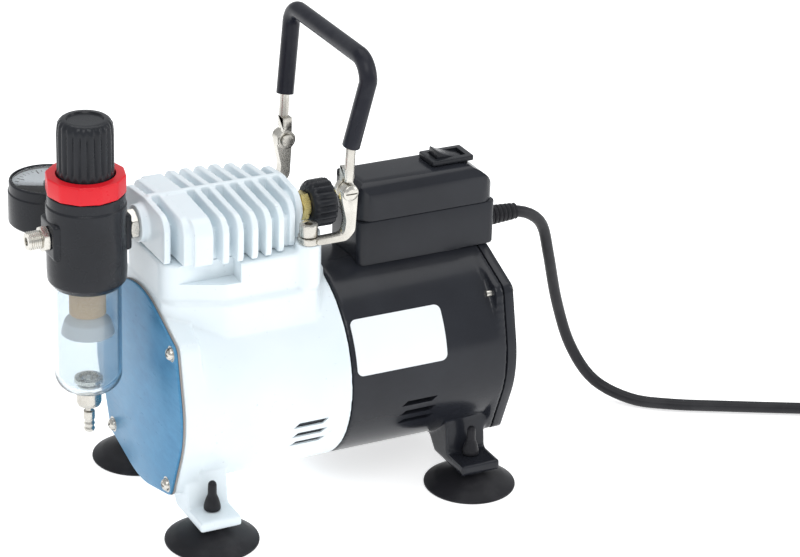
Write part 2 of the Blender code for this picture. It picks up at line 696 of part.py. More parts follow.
def make_electrical_box():
    x0, x1 = BOX_X
    mid = (x0 + x1) / 2
    half = (x1 - x0) / 2
    box = prism("electrical_box", rounded_outline(half, BOX_HALF, 0.004, 3), 0.115, BOX_SPLIT, (mid, 0, 0))
    room = prism("cutter", rounded_outline(half - 0.0025, BOX_HALF - 0.0025, 0.003, 3), 0.1305, 0.17, (mid, 0, 0))
    motor = rod("cutter", BODY_R + GAP, 0.02, 0.20, on_axis(0), axis="x", segments=48)
    flange = prism("cutter", [(u * 1.012, v * 1.012) for u, v in cover_outline()], 0.1095, 0.1350,
                   on_axis(0), axis="x")
    hole = rod("cutter", 0.0052, 0.12, 0.14, (0, 0, CORD_Z), axis="x", segments=16)
    cut(box, room, motor, flange, hole)
    finish(box, BLACK)
    make_box_cap(mid, half)
    make_switch()
    bore = CORD_R + 2 * GAP
    gland = [(bore, 0.1265), (0.0049, 0.1265), (0.0049, 0.1308), (0.0075, 0.1308), (0.0070, 0.1330),
             (0.0056, 0.1345), (0.0047, 0.1525), (bore, 0.1525)]
    turned("cord_gland", gland, (0, 0, CORD_Z), RUBBER, "x", 20)


def make_box_cap(mid, half):
    low = BOX_SPLIT + GAP
    cap = prism("electrical_cap", rounded_outline(half, BOX_HALF, 0.0095, 6), low, BOX_TOP, (mid, 0, 0))
    shoulder = []
    for k in range(9):
        a = math.pi / 2 * k / 8
        shoulder.append((0.0085 + 0.0095 * math.cos(a), BOX_TOP - 0.0095 * (1 - math.sin(a))))
    across = [(BOX_HALF + 0.0001, low - 0.01)] + shoulder
    across = across + [(-u, v) for u, v in across[::-1]]
    arch = prism("arch", across, BOX_X[0] - 0.01, BOX_X[1] + 0.01, (0, 0, 0), axis="x")
    solve(cap, [arch], "INTERSECT")
    round_r = 0.020
    side = [(low - 0.01, BOX_X[0] - 0.001), (BOX_TOP - 0.007, BOX_X[0] - 0.001)]
    for k in range(5):
        a = math.pi / 2 * k / 4
        side.append((BOX_TOP - 0.007 * (1 - math.sin(a)), BOX_X[0] + 0.007 * (1 - math.cos(a))))
    for k in range(9):
        a = math.pi / 2 * (1 - k / 8)
        side.append((BOX_TOP - round_r * (1 - math.sin(a)), BOX_X[1] - round_r * (1 - math.cos(a))))
    side.append((low - 0.01, BOX_X[1] + 0.0001))
    profile = prism("profile", side, -0.03, 0.03, (0, 0, 0), axis="y")
    solve(cap, [profile], "INTERSECT")
    room = prism("cutter", rounded_outline(half - 0.004, BOX_HALF - 0.003, 0.007, 4), low - 0.01, 0.1600,
                 (mid, 0, 0))
    upper = block("cutter", (BOX_X[0] + 0.010, -0.0095, low), (BOX_X[1] - 0.012, 0.0095, BOX_TOP - 0.003))
    switch_hole = block("cutter", (SWITCH_X - 0.0102, -0.0063, 0.155), (SWITCH_X + 0.0102, 0.0063, 0.18))
    cut(cap, room, upper, switch_hole)
    finish(cap, BLACK)


def make_switch():
    top = BOX_TOP + GAP
    bezel = block("switch_bezel", (SWITCH_X - 0.0125, -0.0085, top), (SWITCH_X + 0.0125, 0.0085, top + 0.0028))
    body = block("body", (SWITCH_X - 0.0099, -0.0060, 0.1560), (SWITCH_X + 0.0099, 0.0060, top + 0.001))
    join(bezel, body)
    well = block("cutter", (SWITCH_X - 0.0090, -0.0052, 0.1605), (SWITCH_X + 0.0090, 0.0052, 0.18))
    cut(bezel, well)
    finish(bezel, BLACK)
    rocker = [(-0.0082, 0.0000), (-0.0070, -0.0080), (0.0070, -0.0080), (0.0082, -0.0020), (0.0081, -0.0004),
              (0.0000, 0.0012), (-0.0078, 0.0046)]
    outline = [(z, x) for x, z in rocker]
    piece = prism("switch_rocker", outline, -0.0048, 0.0048, (SWITCH_X, 0, top + 0.0020), BLACK, "y")
    return piece


def make_regulator():
    centre = (REG_X, 0, 0)
    outline = [(0, REG_LOW), (0.0180, REG_LOW), (0.0204, REG_LOW + 0.003), (REG_R, REG_LOW + 0.008),
               (REG_R, REG_TOP), (0.0150, REG_TOP), (0.0150, 0.1500), (0, 0.1500)]
    body = turned("regulator_body", outline, centre, segments=32)
    pads = [block("pad", (REG_X + min(d, d * 0.5), -0.0100, PORT_Z - 0.010),
                  (REG_X + max(d, d * 0.5), 0.0100, PORT_Z + 0.010), bevel=0.0015)
            for d in (0.0213, -0.0213)]
    join(body, *pads)
    room = rod("cutter", 0.0150, 0.1500, REG_TOP + 0.01, centre, segments=32)
    right = rod("cutter", 0.0048, 0.0160, 0.03, (REG_X, 0, PORT_Z), axis="x", segments=16)
    left = rod("cutter", 0.0048, -0.03, -0.0160, (REG_X, 0, PORT_Z), axis="x", segments=16)
    back = rod("cutter", 0.0042, 0.0160, 0.03, (REG_X, 0, GAUGE_STEM_Z), axis="y", segments=16)
    cut(body, room, right, left, back)
    finish(body, BLACK)
    tube("lock_ring", 0.0154, 0.0208, REG_TOP + GAP, RING_TOP, centre, RED, segments=32)
    nut = [(0, -0.0810), (0.0045, -0.0810), (0.0045, -0.0764), (0.0085, -0.0764), (0.0085, -0.0719),
           (0.0045, -0.0719), (0.0045, -0.0665), (0, -0.0665)]
    turned("air_nipple", nut, (0, 0, PORT_Z), STEEL, "x", 20)
    spout = [(0.0022, -0.0162), (0.0045, -0.0162), (0.0045, -0.0216), (0.0072, -0.0216), (0.0072, -0.0252),
             (0.0050, -0.0256), (0.0050, -0.0321), (0.0046, -0.0325), (0.0022, -0.0325)]
    turned("outlet_fitting", spout, (REG_X, 0, PORT_Z), STEEL, "x", 20)
    make_bowl(centre)
    make_knob(centre)
    make_gauge()


def make_bowl(centre):
    top = REG_LOW - GAP
    outer = [(BOWL_R, top), (BOWL_R, BOWL_LOW + 0.011)]
    inner_r = BOWL_R - 0.0020
    corner = 0.010
    for k in range(1, 5):
        a = math.pi / 2 * k / 4
        outer.append((BOWL_R - corner * (1 - math.cos(a)), BOWL_LOW + 0.011 - 0.010 * math.sin(a)))
    outer += [(0.0046, BOWL_LOW), (0.0046, BOWL_LOW + 0.0022)]
    inner = []
    for k in range(5):
        a = math.pi / 2 * (1 - k / 4)
        inner.append((inner_r - 0.0085 * (1 - math.cos(a)), BOWL_LOW + 0.0120 - 0.0085 * math.sin(a)))
    inner.append((inner_r, top))
    turned("filter_bowl", outer + inner, centre, CLEAR, segments=26)
    element = [(0.0035, 0.1190), (0.0095, 0.1190), (0.0095, top), (0.0035, top)]
    turned("filter_element", element, centre, CREAM, segments=20)
    baffle = [(0, 0.1110), (0.0070, 0.1110), (0.0130, 0.1075), (0.0140, 0.1085), (0.0120, 0.1150),
              (0.0070, 0.1187), (0, 0.1187)]
    turned("filter_baffle", baffle, centre, NYLON, segments=24)
    low = BOWL_LOW
    seat = [(0.0022, low - 0.0085), (0.0058, low - 0.0085), (0.0066, low - 0.0065), (0.0066, low - 0.0003),
            (0.0042, low - 0.0003), (0.0042, low + 0.0042), (0.0075, low + 0.0042), (0.0075, low + 0.0078),
            (0.0050, low + 0.0085), (0.0050, low + 0.0060), (0.0022, low + 0.0050)]
    turned("drain_seat", seat, centre, STEEL, segments=18)
    tip = 0.0500
    stem = [(0, tip), (0.0024, tip), (0.0030, tip + 0.0015), (0.0024, tip + 0.0030), (0.0030, tip + 0.0045),
            (0.0024, tip + 0.0060), (0.0030, tip + 0.0075), (0.0030, tip + 0.0118), (0.0018, tip + 0.0121),
            (0.0018, low + 0.0030), (0, low + 0.0030)]
    turned("drain_valve", stem, centre, STEEL, segments=16)


def make_knob(centre):
    low = 0.1905
    outline = [(0, 0.2060), (0.0118, 0.2060), (0.0118, low), (KNOB_R, low), (KNOB_R, KNOB_TOP - 0.006),
               (0.0142, KNOB_TOP - 0.0030), (0.0128, KNOB_TOP - 0.0008), (0.0108, KNOB_TOP), (0, KNOB_TOP)]
    turned("regulator_knob", outline, centre, BLACK, segments=32)
    screw = [(0, 0.1690), (0.0120, 0.1690), (0.0120, 0.1715), (0.0030, 0.1715), (0.0030, 0.2055), (0, 0.2055)]
    turned("adjusting_screw", screw, centre, BRASS, segments=20)


def make_gauge():
    centre = (REG_X, GAUGE_Y, 0)
    outline = [(0, GAUGE_LOW), (GAUGE_R - 0.0012, GAUGE_LOW), (GAUGE_R, GAUGE_LOW + 0.0012),
               (GAUGE_R, GAUGE_TOP - 0.001), (GAUGE_R - 0.0010, GAUGE_TOP), (0.0190, GAUGE_TOP),
               (0.0190, DIAL_Z), (0, DIAL_Z)]
    case = turned("gauge_case", outline, centre, segments=32)
    neck = [(0, 0.0165), (0.0038, 0.0165), (0.0038, 0.0216), (0.0052, 0.0216), (0.0052, 0.0385), (0, 0.0385)]
    join(case, turned("neck", neck, (REG_X, 0, GAUGE_STEM_Z), axis="y", segments=16))
    room = rod("cutter", 0.0190, DIAL_Z, GAUGE_TOP + 0.01, centre, segments=32)
    cut(case, room)
    finish(case, BLACK)
    needle = block("gauge_needle", (-0.0007, -0.0040, DIAL_Z + 0.0006), (0.0007, 0.0145, DIAL_Z + 0.0012))
    hub = rod("hub", 0.0022, DIAL_Z + 0.0005, DIAL_Z + 0.0015, (0, 0, 0), segments=16)
    join(needle, hub)
    needle.location = centre
    needle.rotation_euler = (0, 0, math.radians(135))
    finish(needle, BLACK)
    rod("gauge_lens", 0.0186, GAUGE_TOP - 0.0018, GAUGE_TOP - 0.0004, centre, CLEAR, segments=28)


# Route of the mains lead, from the gland to the coil
CORD_ROUTE = [
    (0.1280, 0.0000, 0.1330), (0.1430, 0.0000, 0.1330), (0.1580, 0.0000, 0.1330), (0.1710, 0.0030, 0.1240),
    (0.1810, 0.0090, 0.0980), (0.1930, 0.0170, 0.0630), (0.2050, 0.0190, 0.0320), (0.2170, 0.0110, 0.0115),
    (0.2320, -0.0060, 0.0040), (0.2500, -0.0210, 0.0037), (0.2780, -0.0362, 0.0037), (0.3180, -0.0566, 0.0037),
    (0.3300, -0.0627, 0.0037),
]
COIL_CENTRE = (0.3877, -0.0410, 0.0)
COIL_R = 0.0390
COIL_HALF_W = 0.0100
COIL_HEIGHT = 0.0140
PLUG_PLACE = (0.4337, 0.0240, 0.0002)
PLUG_TURN = 90.0


def make_cord():
    points = smooth_route(CORD_ROUTE, 2.4 * 2 * CORD_R)
    swept("power_cord", [tuple(p) for p in points], CORD_R, RUBBER, 2)
    ring = rounded_outline(COIL_HALF_W, COIL_HEIGHT / 2, 0.005, 2)
    outline = [(COIL_R + u, COIL_HEIGHT / 2 + 0.0002 + v) for u, v in ring]
    turned("cord_coil", outline, COIL_CENTRE, RUBBER, segments=24)
    plug = block("power_plug", (-0.017, -0.012, 0.0), (0.017, 0.012, 0.022), bevel=0.003)
    pins = [rod("pin", 0.0024, 0.016, 0.036, (0, s * 0.0095 / 2 * 2, 0.011), axis="x", segments=14)
            for s in (1, -1)]
    join(plug, *pins)
    plug.location = PLUG_PLACE
    plug.rotation_euler = (0, 0, math.radians(PLUG_TURN))
    finish(plug, RUBBER)


def main():
    clear_scene()
    make_crankcase()
    make_front_cover()
    make_motor_housing()
    make_rear_cover()
    make_motor_parts()
    make_fan()
    make_crank()
    make_piston()
    make_head()
    make_cylinder_parts()
    make_intake()
    make_brackets()
    make_handle()
    make_feet()
    make_electrical_box()
    make_regulator()
    make_cord()


main()
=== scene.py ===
"""Blender scene of the portable airbrush compressor: looks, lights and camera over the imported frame."""
import math

import bmesh
import bpy
import numpy as np
from mathutils import Matrix, Vector


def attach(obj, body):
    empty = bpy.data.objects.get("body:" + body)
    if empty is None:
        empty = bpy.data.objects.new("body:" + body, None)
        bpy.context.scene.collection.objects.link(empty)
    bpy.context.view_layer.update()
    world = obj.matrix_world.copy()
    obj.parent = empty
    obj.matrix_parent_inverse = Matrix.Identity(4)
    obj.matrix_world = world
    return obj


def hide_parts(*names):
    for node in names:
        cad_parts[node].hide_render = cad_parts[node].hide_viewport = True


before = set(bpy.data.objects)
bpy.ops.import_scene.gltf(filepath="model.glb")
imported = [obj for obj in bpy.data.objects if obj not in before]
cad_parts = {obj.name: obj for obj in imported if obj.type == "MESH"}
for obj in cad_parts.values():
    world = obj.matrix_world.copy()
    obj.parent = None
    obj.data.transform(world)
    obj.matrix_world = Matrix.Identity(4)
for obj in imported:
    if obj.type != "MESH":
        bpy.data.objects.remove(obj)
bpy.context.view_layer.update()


# ---------------------------------------------------------------- camera

LENS = 135.0                     # millimetres, long enough for little perspective
SENSOR = 36.0
CLIP_END = 20.0
CAMERA_PLACE = (-0.6043, -1.3080, 0.7874)
CAMERA_AZIMUTH = 62.28           # degrees the view turns from +X towards +Y
CAMERA_DROP = 24.80              # degrees the view points below level
CAMERA_ROLL = 1.91


def make_camera():
    """Long lens, from above the near front corner."""
    data = bpy.data.cameras.new("camera")
    data.lens = LENS
    data.sensor_width = SENSOR
    data.clip_end = CLIP_END
    camera = bpy.data.objects.new("camera", data)
    bpy.context.scene.collection.objects.link(camera)
    azimuth, elevation, roll = (math.radians(a) for a in (CAMERA_AZIMUTH, CAMERA_DROP, CAMERA_ROLL))
    forward = Vector((math.cos(azimuth) * math.cos(elevation), math.sin(azimuth) * math.cos(elevation),
                      -math.sin(elevation)))
    level = Vector((math.sin(azimuth), -math.cos(azimuth), 0.0))
    upright = level.cross(forward)
    right = math.cos(roll) * level + math.sin(roll) * upright
    up = math.cos(roll) * upright - math.sin(roll) * level
    turn = Matrix((right, up, -forward)).transposed().to_4x4()
    camera.matrix_world = Matrix.Translation(CAMERA_PLACE) @ turn
    bpy.context.scene.camera = camera


make_camera()


# ---------------------------------------------------------------- sizes, in metres, as in the frame

GAP = 0.0003                     # clearance between parts that touch
PHASE_SCALE = 1733.0             # turns a radius into a start angle, so facets never line up

# Motor line
AXIS_Z = 0.072                   # height of the motor shaft
BODY_R = 0.056                   # outside radius of crankcase and motor housing
CASE_WALL = 0.004
FRONT_X = -0.0672                # open front of the crankcase
SEAM_X = 0.028                   # joint between crankcase and motor housing
HOUSING_END_X = 0.1205
REAR_X = 0.129                   # outer face of the rear cover
PLATE_T = 0.0023
UPPER_SCREW = (0.043, 0.0365)    # cover screws, across and above the shaft
LOWER_SCREW = (0.037, -0.042)
SCREW_BOSS_R = 0.006
SCREW_R = 0.0018
BEARING_SEAT_R = 0.0113

# Cylinder and head
BORE_X = -0.0268
LINER_R = 0.0205
LINER_TOP = 0.1610
SADDLE_TOP = 0.1500              # top of the cylinder block on the crankcase
HEAD_TOP = 0.178
INTAKE_Y = -0.012
FIN_X = (-0.0650, -0.0570, -0.0489, -0.0375, -0.0294, -0.0213, -0.0132, -0.0051, 0.0030, 0.0105)
WIDE_FIN = 2                     # this fin is a solid block
FIN_T = 0.0035
WIDE_FIN_T = 0.0104
FIN_MID_X = -0.0290              # plan outline of the fins: an oval with square shoulders
FIN_SPAN = 0.0440
FIN_HALF = 0.0395
FIN_SQUARENESS = 2.6
FIN_ROUND = 0.009

# Filter regulator
REG_X = -0.098
PORT_Z = 0.164
PORT_R = 0.0048
REG_R = 0.0207
REG_LOW = 0.1358
REG_TOP = 0.1863
BOWL_R = 0.0176
BOWL_LOW = 0.0740
KNOB_R = 0.0146
KNOB_TOP = 0.226
RING_TOP = 0.1965
GAUGE_Y = 0.0547
GAUGE_R = 0.021
GAUGE_LOW = 0.148
GAUGE_TOP = 0.172
GAUGE_STEM_Z = 0.1585
DIAL_Z = 0.1680                  # face of the gauge
DIAL_R = 0.0190

# Handle
PIVOT = (0.030, 0.040, 0.181)
HANDLE_TOP = 0.2575
HANDLE_LEAN = 0.007
HANDLE_SPREAD = 0.006
GRIP_LOW = 0.2056
GRIP_R = 0.0047
ROD_R = 0.0026
PIN_R = 0.0020
EYE_HALF = 0.0013                # half the thickness of an eye
ARM_HALF = 0.0026                # half the thickness of a bracket arm
ARM_SHEET = 0.0032               # thickness of its base
BOLT_X = 0.0100
BOLT_Y = 0.036
LUG_TOP = 0.154
BOLT_HOLE_R = 0.0028

# Feet
FOOT_X = (-0.050, 0.103)
FOOT_Y = 0.051
CUP_R = 0.025
PAD_LOW = 0.012
PAD_TOP = 0.0178
PAD_HOLE_R = 0.0030

# Electrical box
BOX_X = (0.0485, 0.1305)
BOX_HALF = 0.018
BOX_SPLIT = 0.150
BOX_TOP = 0.171
SWITCH_X = 0.1085
CORD_Z = 0.1330
CORD_R = 0.00325


# ---------------------------------------------------------------- materials

def tree(name):
    """New node material, with its nodes, links and shader."""
    found = bpy.data.materials.new(name)
    found.use_nodes = True
    nodes, links = found.node_tree.nodes, found.node_tree.links
    return found, nodes, links, nodes["Principled BSDF"]


def coordinates(nodes, links, scale=(1, 1, 1), rotation=(0, 0, 0)):
    """Object coordinates, scaled and turned."""
    place = nodes.new("ShaderNodeTexCoord")
    mapping = nodes.new("ShaderNodeMapping")
    mapping.inputs["Scale"].default_value = scale
    mapping.inputs["Rotation"].default_value = rotation
    links.new(place.outputs["Object"], mapping.inputs["Vector"])
    return mapping.outputs["Vector"]


def grain(nodes, links, vector, scale, detail=4.0, rough=0.55):
    """Noise between 0 and 1."""
    texture = nodes.new("ShaderNodeTexNoise")
    texture.inputs["Scale"].default_value = scale
    texture.inputs["Detail"].default_value = detail
    texture.inputs["Roughness"].default_value = rough
    links.new(vector, texture.inputs["Vector"])
    return texture.outputs["Fac"]


def spread(nodes, links, value, low, high, out_low, out_high):
    """Maps low to out_low and high to out_high, clamped."""
    node = nodes.new("ShaderNodeMapRange")
    for key, number in (("From Min", low), ("From Max", high), ("To Min", out_low), ("To Max", out_high)):
        node.inputs[key].default_value = number
    links.new(value, node.inputs["Value"])
    return node.outputs["Result"]


def blend_colours(nodes, links, factor, first, second):
    """Mixes two colours, each a tuple or a socket."""
    node = nodes.new("ShaderNodeMix")
    node.data_type = "RGBA"
    for index, colour in ((6, first), (7, second)):
        if isinstance(colour, tuple):
            node.inputs[index].default_value = (*colour, 1.0)
        else:
            links.new(colour, node.inputs[index])
    links.new(factor, node.inputs[0])
    return node.outputs[2]


def add_bump(nodes, links, shader, heights, distance=0.0002):
    """Bump from a list of (height, strength)."""
    normal = None
    for height, strength in heights:
        bump = nodes.new("ShaderNodeBump")
        bump.inputs["Strength"].default_value = strength
        bump.inputs["Distance"].default_value = distance
        links.new(height, bump.inputs["Height"])
        if normal:
            links.new(normal, bump.inputs["Normal"])
        normal = bump.outputs["Normal"]
    links.new(normal, shader.inputs["Normal"])


def painted_crease_mask(nodes, links, low=0.38, high=0.49):
    """Rises to 1 in inside corners, where painted shade is laid into the colour."""
    geometry = nodes.new("ShaderNodeNewGeometry")
    return spread(nodes, links, geometry.outputs["Pointiness"], low, high, 1.0, 0.0)


def enamel(name, colour, deep, rough, fleck=0.0, bump=0.08, coat=0.0, shade_strength=0.35, bump_scale=900.0,
           specular=0.5):
    """Paint or gloss moulding: slow tone drift, fine texture, and painted shade that darkens the creases."""
    made, nodes, links, shader = tree(name)
    vector = coordinates(nodes, links)
    drift = grain(nodes, links, vector, 18.0)
    fine = grain(nodes, links, vector, bump_scale, 3.0)
    tone = blend_colours(nodes, links, spread(nodes, links, drift, 0.3, 0.7, 0.0, 1.0), colour, deep)
    # Painted shade: inside corners and creases are darkened in the colour itself, by the factor given for each
    # look.
    shade = painted_crease_mask(nodes, links)
    scaled = nodes.new("ShaderNodeMath")
    scaled.operation = "MULTIPLY"
    scaled.inputs[1].default_value = shade_strength
    links.new(shade, scaled.inputs[0])
    dark = tuple(c * 0.45 for c in deep)
    tone = blend_colours(nodes, links, scaled.outputs["Value"], tone, dark)
    if fleck:
        spots = grain(nodes, links, vector, 420.0, 2.0)
        mask = spread(nodes, links, spots, 0.70, 0.78, 0.0, fleck)
        tone = blend_colours(nodes, links, mask, tone, tuple(c * 0.35 for c in colour))
    links.new(tone, shader.inputs["Base Color"])
    links.new(spread(nodes, links, grain(nodes, links, vector, 60.0), 0.3, 0.7, rough * 0.85, rough * 1.2),
              shader.inputs["Roughness"])
    shader.inputs["Specular IOR Level"].default_value = specular
    shader.inputs["Coat Weight"].default_value = coat
    shader.inputs["Coat Roughness"].default_value = 0.08
    add_bump(nodes, links, shader, [(fine, bump), (grain(nodes, links, vector, 120.0, 2.0), bump * 0.6)])
    return made


def metal(name, colour, dark, rough, bump=0.10, crease_shade=0.4):
    """Plated or bare metal: fine scratches, patchy polish, and painted shade that darkens the creases."""
    made, nodes, links, shader = tree(name)
    vector = coordinates(nodes, links)
    lines = grain(nodes, links, coordinates(nodes, links, (400.0, 400.0, 400.0)), 2.0, 5.0)
    patch = grain(nodes, links, vector, 55.0)
    tone = blend_colours(nodes, links, spread(nodes, links, patch, 0.35, 0.7, 0.0, 1.0), colour, dark)
    # Painted shade: inside corners and creases are darkened in the colour itself.
    shade = painted_crease_mask(nodes, links, 0.40, 0.49)
    scaled = nodes.new("ShaderNodeMath")
    scaled.operation = "MULTIPLY"
    scaled.inputs[1].default_value = crease_shade
    links.new(shade, scaled.inputs[0])
    tone = blend_colours(nodes, links, scaled.outputs["Value"], tone, tuple(c * 0.3 for c in dark))
    links.new(tone, shader.inputs["Base Color"])
    shader.inputs["Metallic"].default_value = 1.0
    links.new(spread(nodes, links, lines, 0.3, 0.7, rough * 0.7, rough * 1.35), shader.inputs["Roughness"])
    add_bump(nodes, links, shader, [(lines, bump)], 0.0001)
    return made


def rubber(name, colour, rough, dust=0.05, pore=700.0, specular=0.16):
    """Dark rubber: patchy dust and fine pores."""
    made, nodes, links, shader = tree(name)
    vector = coordinates(nodes, links)
    patch = grain(nodes, links, vector, 45.0, 6.0)
    mask = spread(nodes, links, patch, 0.45, 0.75, 0.0, 1.0)
    lighter = tuple(c + dust * 0.4 for c in colour)
    links.new(blend_colours(nodes, links, mask, colour, lighter), shader.inputs["Base Color"])
    links.new(spread(nodes, links, patch, 0.3, 0.7, rough * 0.85, rough * 1.15), shader.inputs["Roughness"])
    shader.inputs["Specular IOR Level"].default_value = specular
    add_bump(nodes, links, shader, [(grain(nodes, links, vector, pore, 3.0), 0.16)])
    return made


def brushed_film(name):
    """Blue satin plate with fine brushed lines."""
    made, nodes, links, shader = tree(name)
    lines = grain(nodes, links, coordinates(nodes, links, (1.0, 60.0, 900.0), (math.radians(6), 0, 0)),
                  1.0, 6.0, 0.7)
    broad = grain(nodes, links, coordinates(nodes, links), 14.0)
    vein = grain(nodes, links, coordinates(nodes, links, (1.0, 1.4, 2.6)), 60.0, 8.0, 0.75)
    tone = blend_colours(nodes, links, spread(nodes, links, vein, 0.35, 0.65, 0.0, 1.0),
                         (0.040, 0.175, 0.345), (0.060, 0.235, 0.430))
    tone = blend_colours(nodes, links, spread(nodes, links, broad, 0.3, 0.75, 0.0, 0.5), tone,
                         (0.095, 0.29, 0.47))
    tone = blend_colours(nodes, links, spread(nodes, links, lines, 0.4, 0.7, 0.0, 0.35), tone,
                         (0.12, 0.33, 0.52))
    links.new(tone, shader.inputs["Base Color"])
    links.new(spread(nodes, links, lines, 0.3, 0.7, 0.26, 0.42), shader.inputs["Roughness"])
    shader.inputs["Metallic"].default_value = 0.25
    shader.inputs["Specular IOR Level"].default_value = 0.30
    add_bump(nodes, links, shader, [(lines, 0.12)], 0.00008)
    return made


def clear(name, tint, rough=0.04, haze=0.0):
    """Clear moulding with slightly uneven walls."""
    made, nodes, links, shader = tree(name)
    vector = coordinates(nodes, links)
    shader.inputs["Base Color"].default_value = (*tint, 1.0)
    shader.inputs["Transmission Weight"].default_value = 1.0 - haze
    shader.inputs["IOR"].default_value = 1.45
    links.new(spread(nodes, links, grain(nodes, links, vector, 90.0), 0.3, 0.7, rough * 0.6, rough * 1.6),
              shader.inputs["Roughness"])
    add_bump(nodes, links, shader, [(grain(nodes, links, vector, 40.0, 2.0), 0.05)])
    return made


def sintered(name):
    """Pressed bronze beads of a filter element."""
    made, nodes, links, shader = tree(name)
    vector = coordinates(nodes, links)
    cells = nodes.new("ShaderNodeTexVoronoi")
    cells.inputs["Scale"].default_value = 1300.0
    links.new(vector, cells.inputs["Vector"])
    tone = blend_colours(nodes, links, spread(nodes, links, cells.outputs["Distance"], 0.1, 0.6, 0.0, 1.0),
                         (0.86, 0.62, 0.36), (0.62, 0.38, 0.18))
    links.new(tone, shader.inputs["Base Color"])
    links.new(spread(nodes, links, grain(nodes, links, vector, 200.0), 0.3, 0.7, 0.65, 0.9),
              shader.inputs["Roughness"])
    add_bump(nodes, links, shader, [(cells.outputs["Distance"], 0.5)])
    return made


LOOK = {
    "white": enamel("white_enamel", (0.80, 0.87, 0.905), (0.74, 0.825, 0.875), 0.34, fleck=0.25, coat=0.25),
    "black": enamel("black_gloss", (0.012, 0.013, 0.017), (0.020, 0.022, 0.028), 0.20, bump=0.05, coat=0.06,
                    shade_strength=0.2, bump_scale=700.0, specular=0.24),
    "black_mould": enamel("black_moulding", (0.012, 0.013, 0.016), (0.022, 0.024, 0.029), 0.26, bump=0.06,
                          coat=0.04, shade_strength=0.2, bump_scale=1200.0, specular=0.20),
    "red": enamel("red_moulding", (0.80, 0.018, 0.030), (0.66, 0.010, 0.020), 0.30, bump=0.06, coat=0.05,
                  shade_strength=0.3, specular=0.25),
    "blue": brushed_film("blue_film"),
    "steel": metal("plated_steel", (0.66, 0.64, 0.59), (0.44, 0.42, 0.38), 0.26),
    "bare": metal("bare_steel", (0.52, 0.52, 0.53), (0.33, 0.33, 0.34), 0.36),
    "brass": metal("brass", (0.80, 0.70, 0.34), (0.60, 0.49, 0.18), 0.30),
    "copper": metal("copper_wire", (0.62, 0.27, 0.11), (0.42, 0.16, 0.06), 0.38),
    "aluminium": metal("cast_aluminium", (0.66, 0.67, 0.68), (0.48, 0.49, 0.50), 0.42),
    "rubber": rubber("black_rubber", (0.016, 0.016, 0.019), 0.42),
    "grip": rubber("grip_rubber", (0.012, 0.013, 0.020), 0.30, pore=500.0),
    "cord": rubber("cord_sheath", (0.020, 0.020, 0.023), 0.38, pore=900.0, specular=0.18),
    "nylon": enamel("white_moulding", (0.86, 0.87, 0.88), (0.78, 0.80, 0.82), 0.45, bump=0.08, shade_strength=0.3),
    "label": enamel("blank_label", (0.83, 0.86, 0.885), (0.80, 0.83, 0.86), 0.38, bump=0.03, shade_strength=0.1,
                    specular=0.30),
    "print": enamel("dial_print", (0.015, 0.015, 0.017), (0.030, 0.030, 0.033), 0.50, bump=0.03),
    "clear": clear("clear_bowl", (0.82, 0.88, 0.915), 0.05, 0.06),
    "lens": clear("gauge_lens", (0.96, 0.98, 0.99), 0.02),
    "filter": sintered("sintered_medium"),
    "gasket": rubber("gasket_paper", (0.30, 0.27, 0.25), 0.75, dust=0.1, specular=0.45),
}

# Look of each CAD node; a name that ends with an underscore stands for all nodes that begin with it
NODE_LOOK = {
    "white": ("crankcase", "cylinder_head"),
    "black": ("motor_housing", "rear_cover", "electrical_box", "electrical_cap"),
    "black_mould": ("regulator_body", "regulator_knob", "gauge_case", "gauge_needle", "intake_filter",
                    "switch_bezel", "switch_rocker"),
    "red": ("lock_ring",),
    "blue": ("front_plate",),
    "steel": ("front_plate_screw_", "rear_cover_screw_", "bracket_bolt_", "handle_bracket_", "handle_frame",
              "pivot_screw_", "air_nipple", "outlet_fitting", "drain_seat", "drain_valve"),
    "bare": ("stator_core", "motor_rotor", "front_bearing", "rear_bearing", "cylinder_liner", "valve_plate"),
    "brass": ("intake_nipple", "adjusting_screw"),
    "copper": ("stator_windings",),
    "aluminium": ("crank", "piston_rod"),
    "rubber": ("suction_foot_", "cord_gland", "power_plug"),
    "grip": ("handle_grip",),
    "cord": ("power_cord", "cord_coil"),
    "nylon": ("filter_baffle", "piston_cup", "cooling_fan"),
    "clear": ("filter_bowl",),
    "lens": ("gauge_lens",),
    "filter": ("filter_element",),
}


NODE_SHARP = 32.0                # degrees between faces that stay a sharp edge


def dress_nodes():
    """Gives every CAD node its look and smooth shading."""
    for look, names in NODE_LOOK.items():
        for node_name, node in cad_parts.items():
            if any(node_name == n or (n.endswith("_") and node_name.startswith(n)) for n in names):
                node.data.materials.clear()
                node.data.materials.append(LOOK[look])
                node.data.shade_smooth()
                node.data.set_sharp_from_angle(angle=math.radians(NODE_SHARP))


dress_nodes()
def from_bmesh(name, bm):
    """Object in the scene with the bmesh as its mesh."""
    bmesh.ops.recalc_face_normals(bm, faces=bm.faces)
    mesh = bpy.data.meshes.new(name)
    bm.to_mesh(mesh)
    bm.free()
    obj = bpy.data.objects.new(name, mesh)
    bpy.context.scene.collection.objects.link(obj)
    return obj


AXES = {
    "x": Matrix(((0, 0, 1), (1, 0, 0), (0, 1, 0))).to_4x4(),
    "y": Matrix(((0, 1, 0), (0, 0, 1), (1, 0, 0))).to_4x4(),
    "z": Matrix.Identity(4),
}


